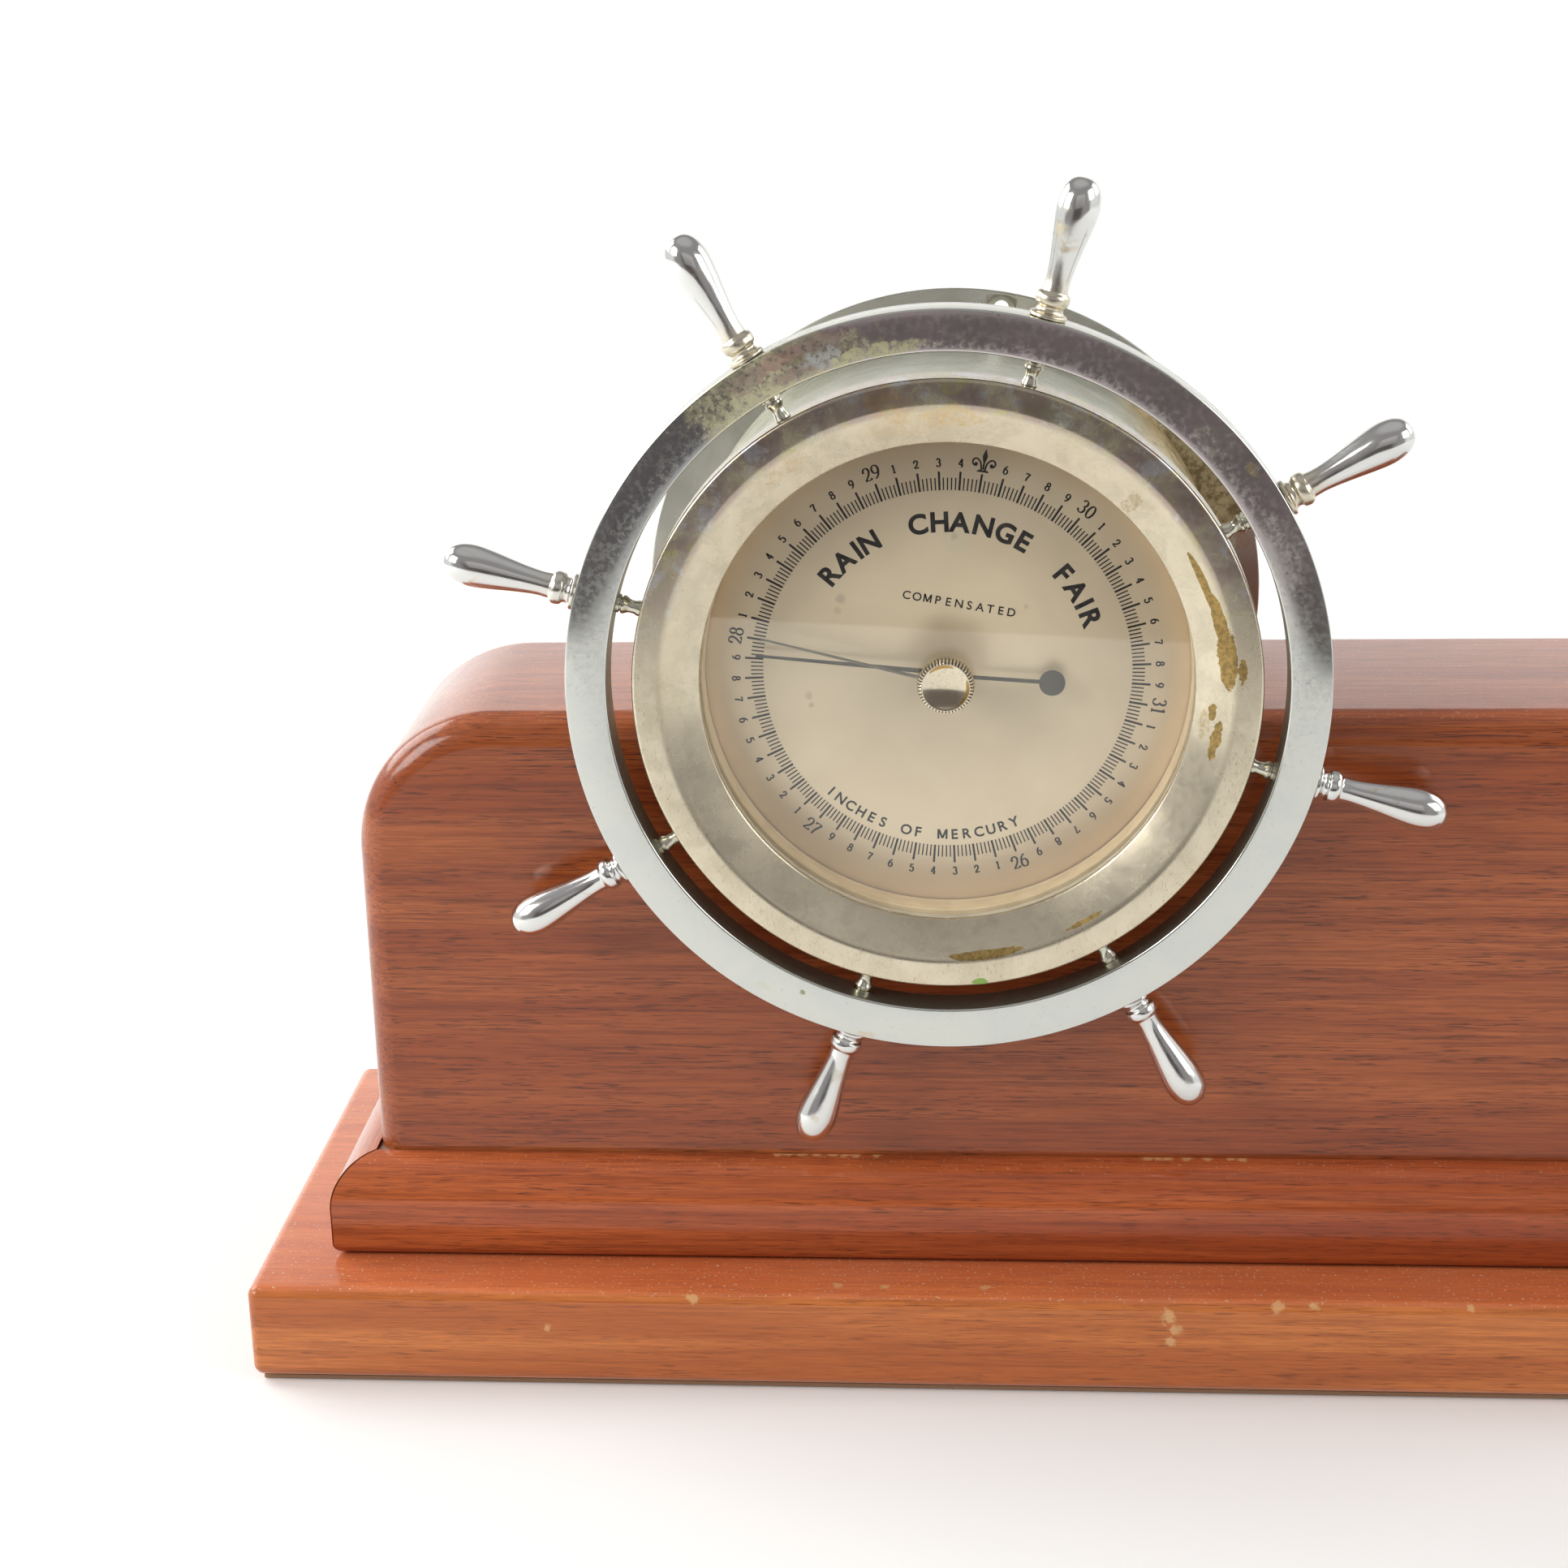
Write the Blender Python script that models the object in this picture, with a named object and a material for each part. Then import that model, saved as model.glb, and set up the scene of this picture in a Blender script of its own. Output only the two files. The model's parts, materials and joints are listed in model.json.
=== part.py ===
"""Ship's barometer: an aneroid movement in a chromed drum, ringed by a ship's wheel, on a wooden stand.

Units are metres, +Z is up and the dial faces -Y.  The world origin is the middle of the stand's
underside.  The instrument hangs under an empty on the dial's axis, in the plane of the wheel's
front face.  In that local frame a "depth" is a distance behind the wheel's front face, along +Y,
and an "angle" is measured clockwise from twelve o'clock, as the dial is read.
"""
import math

import bmesh
import bpy
from mathutils import Matrix, Vector

MM = 0.001
GAP = 0.3 * MM              # clearance left between pieces that touch
RING_SEGMENTS = 48          # facets of the large turned rings
SMALL_SEGMENTS = 16         # facets of small shafts and screws

# Stand
PLINTH_LENGTH = 407.5 * MM
PLINTH_DEPTH = 140.8 * MM
PLINTH_THICKNESS = 25.1 * MM
PLINTH_EDGE_RADIUS = 3.0 * MM
FELT_THICKNESS = 1.0 * MM
FELT_INSET = 2.5 * MM
BLOCK_LENGTH = 348.3 * MM
BLOCK_THICKNESS = 77.5 * MM
BLOCK_HEIGHT = 141.5 * MM
BLOCK_CORNER_RADIUS = 35.5 * MM
BLOCK_EDGE_RADIUS = 7.5 * MM
BLOCK_BACK_SHIFT = -1.95 * MM   # the block's middle, in front of the plinth's middle
MOULDING_HEIGHT = 25.0 * MM
MOULDING_PROJECTION = 11.0 * MM
MOULDING_FOOT_RADIUS = 3.0 * MM
PLINTH_SCREW_SPACING = 240.0 * MM
PLINTH_SCREW_RADIUS = 2.0 * MM

# Where the instrument sits on the stand
AXIS_LEFT_OF_MIDDLE = 25.85 * MM
AXIS_ABOVE_BLOCK = 11.3 * MM
BLOCK_FRONT_DEPTH = 17.5 * MM   # from the wheel's front face back to the block's front

# Wheel and case
RIM_OUTER = 90.5 * MM
RIM_INNER = 80.6 * MM
RIM_THICKNESS = 10.0 * MM
RIM_CHAMFER = 0.5 * MM
HANDLE_COUNT = 8
FIRST_HANDLE_ANGLE = math.radians(15.2)
HANDLE_TIP = 123.2 * MM
BEZEL_OUTER = 74.6 * MM
BEZEL_DEPTH = 10.0 * MM
BEZEL_FLAT_INNER = 67.7 * MM
BEZEL_OPENING = 58.8 * MM
BEZEL_LIP_DEPTH = 4.9 * MM
DRUM_OUTER = 70.0 * MM
DRUM_WALL = 1.5 * MM
DRUM_FRONT = 2.6 * MM
NOTCH_RADIUS = 70.7 * MM
FLANGE_RADIUS = 81.0 * MM
FLANGE_THICKNESS = 2.0 * MM
FLANGE_HOLE_CIRCLE = 76.7 * MM
FLANGE_HOLE_RADIUS = 1.95 * MM
FLANGE_SINK_RADIUS = 3.5 * MM
FIRST_FLANGE_HOLE_ANGLE = math.radians(9.7)

# Glass, dial and hands
GLASS_RADIUS = 67.8 * MM
GLASS_FRONT = 9.2 * MM
GLASS_THICKNESS = 3.0 * MM
GLASS_HOLE = 2.6 * MM
DIAL_FRONT = 20.0 * MM
DIAL_THICKNESS = 0.8 * MM
DIAL_RADIUS = 62.0 * MM
SLEEVE_INNER = 58.7 * MM
KNOB_RADIUS = 6.85 * MM
KNOB_FRONT = 4.3 * MM
KNOB_THICKNESS = 3.7 * MM
SHANK_RADIUS = 1.5 * MM
POINTER_ANGLE = math.radians(-83.8)
POINTER_LENGTH = 46.3 * MM
POINTER_DEPTH = 16.2 * MM
SET_HAND_ANGLE = math.radians(-77.3)
SET_HAND_LENGTH = 45.6 * MM
SET_HAND_DEPTH = 13.0 * MM

# Movement
PLATE_RADIUS = 50.0 * MM
PLATE_FRONT = 65.0 * MM
PLATE_THICKNESS = 2.5 * MM
CAPSULE_RADIUS = 29.0 * MM
CAPSULE_FRONT = 53.0 * MM
CAPSULE_REAR = 62.0 * MM
SPRING_ROOT_X = -36.0 * MM
SPRING_FRONT = 47.0 * MM
SPRING_THICKNESS = 1.2 * MM
LINK_X = 36.0 * MM
ROCKER_X = 39.0 * MM
ROCKER_DEPTH = 39.5 * MM
CHAIN_DEPTH = 27.0 * MM
CHAIN_RADIUS = 0.25 * MM
PULLEY_RADIUS = 1.2 * MM
ARBOR_RADIUS = 0.8 * MM
BRIDGE_FRONT = 31.5 * MM
ADJUSTER_X = -40.0 * MM
ADJUSTER_RADIUS = 2.0 * MM

# Derived places
PLINTH_BOTTOM = FELT_THICKNESS + GAP
PLINTH_TOP = PLINTH_BOTTOM + PLINTH_THICKNESS
BLOCK_BOTTOM = PLINTH_TOP + GAP
BLOCK_TOP = BLOCK_BOTTOM + BLOCK_HEIGHT
BLOCK_FRONT_Y = BLOCK_BACK_SHIFT - BLOCK_THICKNESS / 2
AXIS = Vector((-AXIS_LEFT_OF_MIDDLE, BLOCK_FRONT_Y - BLOCK_FRONT_DEPTH, BLOCK_TOP + AXIS_ABOVE_BLOCK))
BLOCK_BACK_DEPTH = BLOCK_FRONT_DEPTH + BLOCK_THICKNESS
FLANGE_FRONT = BLOCK_BACK_DEPTH + GAP
FLANGE_BACK = FLANGE_FRONT + FLANGE_THICKNESS
PLATE_BACK = PLATE_FRONT + PLATE_THICKNESS
DIAL_BACK = DIAL_FRONT + DIAL_THICKNESS

MATERIALS = {
    "mahogany": ((0.32, 0.085, 0.032), 0.0, 0.25),
    "chrome": ((0.80, 0.81, 0.80), 1.0, 0.12),
    "worn_chrome": ((0.62, 0.60, 0.52), 1.0, 0.30),
    "nickel": ((0.55, 0.54, 0.46), 1.0, 0.35),
    "cream_trim": ((0.80, 0.72, 0.55), 0.0, 0.5),
    "packing": ((0.74, 0.68, 0.54), 0.0, 0.8),
    "silvered_dial": ((0.66, 0.58, 0.44), 0.6, 0.4),
    "dark_steel": ((0.07, 0.075, 0.08), 0.8, 0.4),
    "brass": ((0.72, 0.53, 0.22), 1.0, 0.3),
    "spring_steel": ((0.35, 0.37, 0.42), 1.0, 0.3),
    "glass": ((0.95, 0.97, 0.96), 0.0, 0.02),
    "felt": ((0.05, 0.11, 0.06), 0.0, 0.9),
}


# --- scene and objects ---------------------------------------------------------------------------

def clear_scene():
    for obj in list(bpy.data.objects):
        bpy.data.objects.remove(obj, do_unlink=True)


def material(name):
    """A Principled material made from the MATERIALS entry of the same name."""
    made = bpy.data.materials.get(name)
    if made:
        return made
    colour, metallic, roughness = MATERIALS[name]
    made = bpy.data.materials.new(name)
    made.use_nodes = True
    shader = made.node_tree.nodes["Principled BSDF"]
    shader.inputs["Base Color"].default_value = (*colour, 1.0)
    shader.inputs["Metallic"].default_value = metallic
    shader.inputs["Roughness"].default_value = roughness
    if name == "glass":
        shader.inputs["Transmission Weight"].default_value = 1.0
    return made


def add_object(name, mesh, material_name, parent=None, location=(0, 0, 0), rotation=(0, 0, 0)):
    obj = bpy.data.objects.new(name, mesh)
    bpy.context.scene.collection.objects.link(obj)
    obj.location = location
    obj.rotation_euler = rotation
    obj.parent = parent
    if material_name and not mesh.materials:
        mesh.materials.append(material(material_name))
    return obj


def add_empty(name, location, parent=None):
    empty = bpy.data.objects.new(name, None)
    bpy.context.scene.collection.objects.link(empty)
    empty.location = location
    empty.parent = parent
    return empty


def finish_mesh(bm, name, smooth=False):
    """Turn a bmesh into a mesh whose faces point outwards."""
    bmesh.ops.remove_doubles(bm, verts=bm.verts, dist=1e-7)
    bmesh.ops.recalc_face_normals(bm, faces=bm.faces)
    mesh = bpy.data.meshes.new(name)
    bm.to_mesh(mesh)
    bm.free()
    if smooth:
        mesh.shade_smooth()
        mesh.set_sharp_from_angle(angle=math.radians(35))
    return mesh


# --- basic shapes --------------------------------------------------------------------------------

def turned_mesh(name, profile, segments, closed, along_y=True):
    """Turn a profile of (radius, distance) points about the local Y axis, or about Z.

    A closed profile makes a ring.  An open one starts and ends on the axis and makes a solid.
    """
    bm = bmesh.new()
    verts = [bm.verts.new((radius, 0.0, distance)) for radius, distance in profile]
    pairs = list(zip(verts, verts[1:]))
    if closed:
        pairs.append((verts[-1], verts[0]))
    edges = [bm.edges.new(pair) for pair in pairs]
    bmesh.ops.spin(bm, geom=verts + edges, cent=(0, 0, 0), axis=(0, 0, 1), angle=math.tau,
                   steps=segments, use_merge=True)
    if along_y:
        bm.transform(Matrix.Rotation(-math.pi / 2, 4, "X"))
    return finish_mesh(bm, name, smooth=True)


def ring(name, profile, material_name, parent, segments=RING_SEGMENTS, location=(0, 0, 0)):
    return add_object(name, turned_mesh(name, profile, segments, True), material_name, parent, location)


def solid_of_revolution(name, profile, material_name, parent, segments=SMALL_SEGMENTS,
                        location=(0, 0, 0)):
    return add_object(name, turned_mesh(name, profile, segments, False), material_name, parent, location)


def tube_profile(inner, outer, front, back):
    return [(inner, front), (outer, front), (outer, back), (inner, back)]


def rod_profile(radius, front, back):
    return [(0, front), (radius, front), (radius, back), (0, back)]


def box_mesh(name, low, high, bevel=0.0, segments=1):
    bm = bmesh.new()
    bmesh.ops.create_cube(bm, size=1.0)
    low, high = Vector(low), Vector(high)
    size = high - low
    middle = (high + low) / 2
    bm.transform(Matrix.Translation(middle) @ Matrix.Diagonal((*size, 1.0)))
    if bevel:
        bmesh.ops.bevel(bm, geom=bm.edges[:], offset=bevel, offset_type="OFFSET", segments=segments,
                        profile=0.5, affect="EDGES")
    return finish_mesh(bm, name)


def box(name, low, high, material_name, parent=None, bevel=0.0, segments=1):
    return add_object(name, box_mesh(name, low, high, bevel, segments), material_name, parent)


def extruded_mesh(name, corners, travel):
    """A closed body swept from a flat polygon of corners along the travel vector."""
    bm = bmesh.new()
    face = bm.faces.new([bm.verts.new(corner) for corner in corners])
    moved = bmesh.ops.extrude_face_region(bm, geom=[face])
    verts = [item for item in moved["geom"] if isinstance(item, bmesh.types.BMVert)]
    bmesh.ops.translate(bm, verts=verts, vec=travel)
    return finish_mesh(bm, name)


def plate_mesh(name, outline, front, back):
    """Extrude an outline of (x, z) points from one depth to another."""
    return extruded_mesh(name, [(x, front, z) for x, z in outline], (0, back - front, 0))


def arc(centre, radius, start, end, steps):
    """Points on a circle; angles in degrees, clockwise from straight up."""
    points = []
    for step in range(steps + 1):
        angle = math.radians(start + (end - start) * step / steps)
        points.append((centre[0] + radius * math.sin(angle), centre[1] + radius * math.cos(angle)))
    return points


def combine(target, tool_mesh, operation, parent, location=(0, 0, 0), rotation=(0, 0, 0)):
    """Cut a hidden tool out of an object, or join it on."""
    tool = add_object(f"tool_{target.name}_{len(target.modifiers)}", tool_mesh, None, parent,
                      location, rotation)
    tool.hide_render = True
    tool.display_type = "WIRE"
    boolean = target.modifiers.new(operation.lower(), "BOOLEAN")
    boolean.operation = operation
    boolean.solver = "EXACT"
    boolean.object = tool


def drill(target, x, z, radius, front, back, parent, segments=SMALL_SEGMENTS):
    """A round hole along Y."""
    tool = turned_mesh("hole", rod_profile(radius, front, back), segments, False)
    combine(target, tool, "DIFFERENCE", parent, (x, 0, z))


def polar(radius, angle):
    """The (x, z) of a point on a circle round the dial's axis."""
    return radius * math.sin(angle), radius * math.cos(angle)


# --- wooden stand --------------------------------------------------------------------------------

def make_plinth():
    half_x = PLINTH_LENGTH / 2
    half_y = PLINTH_DEPTH / 2
    felt_x = half_x - FELT_INSET
    felt_y = half_y - FELT_INSET
    box("base_felt", (-felt_x, -felt_y, 0), (felt_x, felt_y, FELT_THICKNESS), "felt")
    board = box("plinth_board", (-half_x, -half_y, PLINTH_BOTTOM), (half_x, half_y, PLINTH_TOP),
                "mahogany", bevel=PLINTH_EDGE_RADIUS, segments=2)
    for name, x in zip(("plinth_screw_left", "plinth_screw_right"), plinth_screw_places()):
        make_plinth_screw(name, board, x)


def plinth_screw_places():
    return -PLINTH_SCREW_SPACING / 2, PLINTH_SCREW_SPACING / 2


def upright_tool(radius_low, radius_high, low, high):
    profile = [(0, low), (radius_low, low), (radius_high, high), (0, high)]
    return turned_mesh("upright_tool", profile, SMALL_SEGMENTS, False, along_y=False)


def make_plinth_screw(name, board, x):
    """A countersunk wood screw from under the plinth up into the block."""
    head_radius = 2.1 * PLINTH_SCREW_RADIUS
    head_low = PLINTH_BOTTOM + 0.5 * MM
    neck = head_low + head_radius - PLINTH_SCREW_RADIUS
    tip = BLOCK_BOTTOM + 22 * MM
    profile = [(0, head_low), (head_radius, head_low), (PLINTH_SCREW_RADIUS, neck),
               (PLINTH_SCREW_RADIUS, tip - 4 * MM), (0, tip)]
    mesh = turned_mesh(name, profile, SMALL_SEGMENTS, False, along_y=False)
    add_object(name, mesh, "brass", location=(x, BLOCK_BACK_SHIFT, 0))
    clear = PLINTH_SCREW_RADIUS + GAP
    shaft_tool = upright_tool(clear, clear, PLINTH_BOTTOM - MM, PLINTH_TOP + MM)
    combine(board, shaft_tool, "DIFFERENCE", None, (x, BLOCK_BACK_SHIFT, 0))
    low = PLINTH_BOTTOM - MM
    sink_radius = head_radius + 0.8 * MM + (head_low - low)
    sink_tool = upright_tool(sink_radius, clear, low, low + sink_radius - clear)
    combine(board, sink_tool, "DIFFERENCE", None, (x, BLOCK_BACK_SHIFT, 0))


def rounded_block_mesh():
    """The block before its notch: two big top corners, and a softer roundover front and back."""
    half = BLOCK_LENGTH / 2
    radius = BLOCK_CORNER_RADIUS
    outline = [(-half, BLOCK_BOTTOM)]
    outline += arc((-half + radius, BLOCK_TOP - radius), radius, -90, 0, 8)
    outline += arc((half - radius, BLOCK_TOP - radius), radius, 0, 90, 8)
    outline += [(half, BLOCK_BOTTOM)]
    bm = bmesh.new()
    bm.from_mesh(plate_mesh("block_blank", outline, BLOCK_FRONT_Y, BLOCK_FRONT_Y + BLOCK_THICKNESS))
    rounded = []
    for edge in bm.edges:
        a, b = (vert.co for vert in edge.verts)
        along_face = abs(a.y - b.y) < 1e-6
        at_bottom = abs(a.z - BLOCK_BOTTOM) < 1e-6 and abs(b.z - BLOCK_BOTTOM) < 1e-6
        if along_face and not at_bottom:
            rounded.append(edge)
    bmesh.ops.bevel(bm, geom=rounded, offset=BLOCK_EDGE_RADIUS, offset_type="OFFSET", segments=3,
                    profile=0.5, affect="EDGES")
    return finish_mesh(bm, "block", smooth=True)


def make_block(axis_empty):
    block = add_object("block", rounded_block_mesh(), "mahogany")
    drill(block, 0, 0, NOTCH_RADIUS, BLOCK_FRONT_DEPTH - 5 * MM, BLOCK_BACK_DEPTH + 5 * MM,
          axis_empty, RING_SEGMENTS)
    for x in plinth_screw_places():
        clear = PLINTH_SCREW_RADIUS + GAP
        tool = upright_tool(clear, clear, BLOCK_BOTTOM - MM, BLOCK_BOTTOM + 23 * MM)
        combine(block, tool, "DIFFERENCE", None, (x, BLOCK_BACK_SHIFT, 0))
    return block


def moulding_profile():
    """(projection, height) points: a quarter round over an upright face with an eased foot."""
    base = PLINTH_TOP + GAP
    crown = MOULDING_PROJECTION
    foot = MOULDING_FOOT_RADIUS
    points = [(GAP, base), (crown - foot / 2, base), (crown, base + foot)]
    top = base + MOULDING_HEIGHT
    drop = 1.15 * crown
    for step in range(6):
        angle = math.radians(18 * step)
        points.append((GAP + (crown - GAP) * math.cos(angle), top - drop + drop * math.sin(angle)))
    return points


def make_moulding(name, run, angle, standoff):
    """One mitred strip.  run is the block's length on that side, standoff its distance from the middle."""
    bm = bmesh.new()
    ends = []
    for sign in (-1, 1):
        end = [bm.verts.new((sign * (run / 2 + out - GAP), -standoff - out, height))
               for out, height in moulding_profile()]
        ends.append(end)
        bm.faces.new(end)
    count = len(ends[0])
    for index in range(count):
        after = (index + 1) % count
        bm.faces.new((ends[0][index], ends[0][after], ends[1][after], ends[1][index]))
    mesh = finish_mesh(bm, name, smooth=True)
    add_object(name, mesh, "mahogany", location=(0, BLOCK_BACK_SHIFT, 0), rotation=(0, 0, angle))


def make_stand(axis_empty):
    make_plinth()
    block = make_block(axis_empty)
    make_moulding("moulding_front", BLOCK_LENGTH, 0, BLOCK_THICKNESS / 2)
    make_moulding("moulding_right", BLOCK_THICKNESS, math.pi / 2, BLOCK_LENGTH / 2)
    make_moulding("moulding_back", BLOCK_LENGTH, math.pi, BLOCK_THICKNESS / 2)
    make_moulding("moulding_left", BLOCK_THICKNESS, -math.pi / 2, BLOCK_LENGTH / 2)
    return block


# --- wheel ---------------------------------------------------------------------------------------

def chamfered_ring_profile(inner, outer, front, back, chamfer):
    return [(inner + chamfer, front), (outer - chamfer, front), (outer, front + chamfer),
            (outer, back - chamfer), (outer - chamfer, back), (inner + chamfer, back),
            (inner, back - chamfer), (inner, front + chamfer)]


def handle_profile():
    """Half outline of a turned handle: foot flange, waist, bead, neck, then the swelling grip."""
    foot = RIM_OUTER + GAP
    points = [(0, 0), (4.3, 0), (4.3, 0.9), (3.2, 2.2), (3.9, 4.0), (3.9, 5.2), (3.0, 6.4)]
    points += [(3.0, 9.0), (3.9, 15.5), (4.8, 21.5), (5.05, 25.0), (4.3, 28.6), (2.6, 31.2)]
    points = [(radius * MM, foot + along * MM) for radius, along in points]
    return points + [(0, HANDLE_TIP)]


def pin_profile():
    """Half outline of a short turned pin between the bezel and the rim."""
    top = RIM_INNER - 0.5 * MM
    foot = BEZEL_OUTER + GAP
    points = [(0, foot), (1.7 * MM, foot), (1.45 * MM, foot + 1.2 * MM), (1.85 * MM, top - 1.6 * MM),
              (1.5 * MM, top - 1.1 * MM), (2.0 * MM, top - 0.6 * MM), (2.0 * MM, top), (0, top)]
    return points


def make_wheel(axis_empty):
    profile = chamfered_ring_profile(RIM_INNER, RIM_OUTER, 0, RIM_THICKNESS, RIM_CHAMFER)
    ring("wheel_rim", profile, "chrome", axis_empty)
    handle_mesh = turned_mesh("handle", handle_profile(), 10, False, along_y=False)
    pin_mesh = turned_mesh("spoke_pin", pin_profile(), 8, False, along_y=False)
    for index in range(HANDLE_COUNT):
        angle = FIRST_HANDLE_ANGLE + index * math.tau / HANDLE_COUNT
        place = (0, RIM_THICKNESS / 2, 0)
        add_object(f"handle_{index + 1}", handle_mesh, "chrome", axis_empty, place, (0, angle, 0))
        add_object(f"spoke_pin_{index + 1}", pin_mesh, "worn_chrome", axis_empty, place, (0, angle, 0))


# --- case and glazing ----------------------------------------------------------------------------

def bezel_profile():
    """A flat face, a slope down to the opening, and a thick skirt round the drum."""
    lip = 1.5 * MM
    skirt = DRUM_OUTER + 0.4 * MM
    under = DRUM_FRONT - GAP
    return [(BEZEL_OUTER - 0.6 * MM, 0), (BEZEL_FLAT_INNER, 0), (BEZEL_OPENING, BEZEL_LIP_DEPTH),
            (BEZEL_OPENING, BEZEL_LIP_DEPTH + lip), (BEZEL_FLAT_INNER - 0.7 * MM, under), (skirt, under),
            (skirt, BEZEL_DEPTH), (BEZEL_OUTER, BEZEL_DEPTH), (BEZEL_OUTER, 0.6 * MM)]


def make_case(axis_empty, block):
    ring("bezel", bezel_profile(), "worn_chrome", axis_empty)
    drum = tube_profile(DRUM_OUTER - DRUM_WALL, DRUM_OUTER, DRUM_FRONT, BLOCK_BACK_DEPTH)
    ring("case_drum", drum, "nickel", axis_empty)
    gasket = tube_profile(SLEEVE_INNER + 0.5 * MM, GLASS_RADIUS, 6.8 * MM, GLASS_FRONT - GAP)
    ring("bezel_gasket", gasket, "packing", axis_empty)
    glass_back = GLASS_FRONT + GLASS_THICKNESS
    ring("glass", tube_profile(GLASS_HOLE, GLASS_RADIUS, GLASS_FRONT, glass_back), "glass", axis_empty)
    sleeve_wall = SLEEVE_INNER + 1.5 * MM
    web = glass_back + GAP
    sleeve = [(SLEEVE_INNER, web), (DRUM_OUTER - DRUM_WALL - GAP, web),
              (DRUM_OUTER - DRUM_WALL - GAP, web + 1.5 * MM), (sleeve_wall, web + 1.5 * MM),
              (sleeve_wall, DIAL_FRONT - GAP), (SLEEVE_INNER, DIAL_FRONT - GAP)]
    ring("dial_sleeve", sleeve, "cream_trim", axis_empty)
    make_flange(axis_empty, block)


def make_flange(axis_empty, block):
    """The case's back plate.  Its rim stands out past the drum and carries three screw holes."""
    plate = rod_profile(FLANGE_RADIUS, FLANGE_FRONT, FLANGE_BACK)
    flange = solid_of_revolution("case_flange", plate, "nickel", axis_empty, RING_SEGMENTS)
    through = (FLANGE_FRONT - MM, FLANGE_BACK + MM)
    drill(flange, ADJUSTER_X, 0, 3.8 * MM, *through, axis_empty)
    for hole in range(3):
        x, z = polar(FLANGE_HOLE_CIRCLE, FIRST_FLANGE_HOLE_ANGLE + hole * math.tau / 3)
        drill(flange, x, z, FLANGE_HOLE_RADIUS, *through, axis_empty)
        make_countersink(flange, x, z, axis_empty)
        if hole > 0:
            make_flange_screw(f"flange_screw_{hole}", x, z, axis_empty)
            drill(block, x, z, 1.8 * MM, BLOCK_BACK_DEPTH - 16 * MM, BLOCK_BACK_DEPTH + MM, axis_empty)


def make_countersink(flange, x, z, axis_empty):
    depth = FLANGE_SINK_RADIUS - FLANGE_HOLE_RADIUS
    cone = [(0, FLANGE_FRONT - MM), (FLANGE_SINK_RADIUS + MM, FLANGE_FRONT - MM),
            (FLANGE_HOLE_RADIUS, FLANGE_FRONT + depth), (0, FLANGE_FRONT + depth)]
    combine(flange, turned_mesh("sink", cone, SMALL_SEGMENTS, False), "DIFFERENCE", axis_empty, (x, 0, z))


def make_flange_screw(name, x, z, axis_empty):
    """A round-headed wood screw through the flange into the block's back, with a slotted head."""
    seat = FLANGE_BACK + GAP
    shank = 1.45 * MM
    profile = [(0, BLOCK_BACK_DEPTH - 15 * MM), (shank, BLOCK_BACK_DEPTH - 12 * MM), (shank, seat),
               (3.5 * MM, seat), (3.3 * MM, seat + 1.0 * MM), (2.3 * MM, seat + 1.9 * MM),
               (0, seat + 2.2 * MM)]
    screw = solid_of_revolution(name, profile, "brass", axis_empty, location=(x, 0, z))
    slot = box_mesh("slot", (-4 * MM, seat + 1.2 * MM, -0.4 * MM), (4 * MM, seat + 4 * MM, 0.4 * MM))
    combine(screw, slot, "DIFFERENCE", axis_empty, (x, 0, z), (0, math.radians(25), 0))


# --- dial and hands ------------------------------------------------------------------------------

def hand_outline(length, tip_half, root_half, hub_radius, tail_half, tail_end):
    """A blade up +Z from a round hub, and a thin tail down to tail_end."""
    blade_angle = math.degrees(math.asin(root_half / hub_radius))
    tail_angle = math.degrees(math.asin(tail_half / hub_radius))
    outline = [(-tip_half, length), (tip_half, length)]
    outline += arc((0, 0), hub_radius, blade_angle, 180 - tail_angle, 6)
    outline += [(tail_half, -tail_end), (-tail_half, -tail_end)]
    outline += arc((0, 0), hub_radius, 180 + tail_angle, 360 - blade_angle, 6)
    return outline


def make_dial_and_hands(axis_empty):
    dial = tube_profile(2.2 * MM, DIAL_RADIUS, DIAL_FRONT, DIAL_BACK)
    ring("dial", dial, "silvered_dial", axis_empty)
    make_pointer(axis_empty)
    make_set_hand(axis_empty)


def make_pointer(axis_empty):
    """The blackened indicating hand, with a round counterweight on its tail."""
    tail_end = 25.5 * MM
    outline = hand_outline(POINTER_LENGTH, 0.25 * MM, 0.75 * MM, 2.2 * MM, 0.45 * MM, tail_end)
    mesh = plate_mesh("pointer_hand", outline, POINTER_DEPTH, POINTER_DEPTH + 0.5 * MM)
    turn = (0, POINTER_ANGLE, 0)
    pointer = add_object("pointer_hand", mesh, "dark_steel", axis_empty, rotation=turn)
    disc = rod_profile(3.15 * MM, POINTER_DEPTH - 0.1 * MM, POINTER_DEPTH + 0.45 * MM)
    x, z = polar(-tail_end, POINTER_ANGLE)
    combine(pointer, turned_mesh("weight", disc, 20, False), "UNION", axis_empty, (x, 0, z))
    drill(pointer, 0, 0, ARBOR_RADIUS + GAP, POINTER_DEPTH - MM, POINTER_DEPTH + MM, axis_empty)


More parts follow.
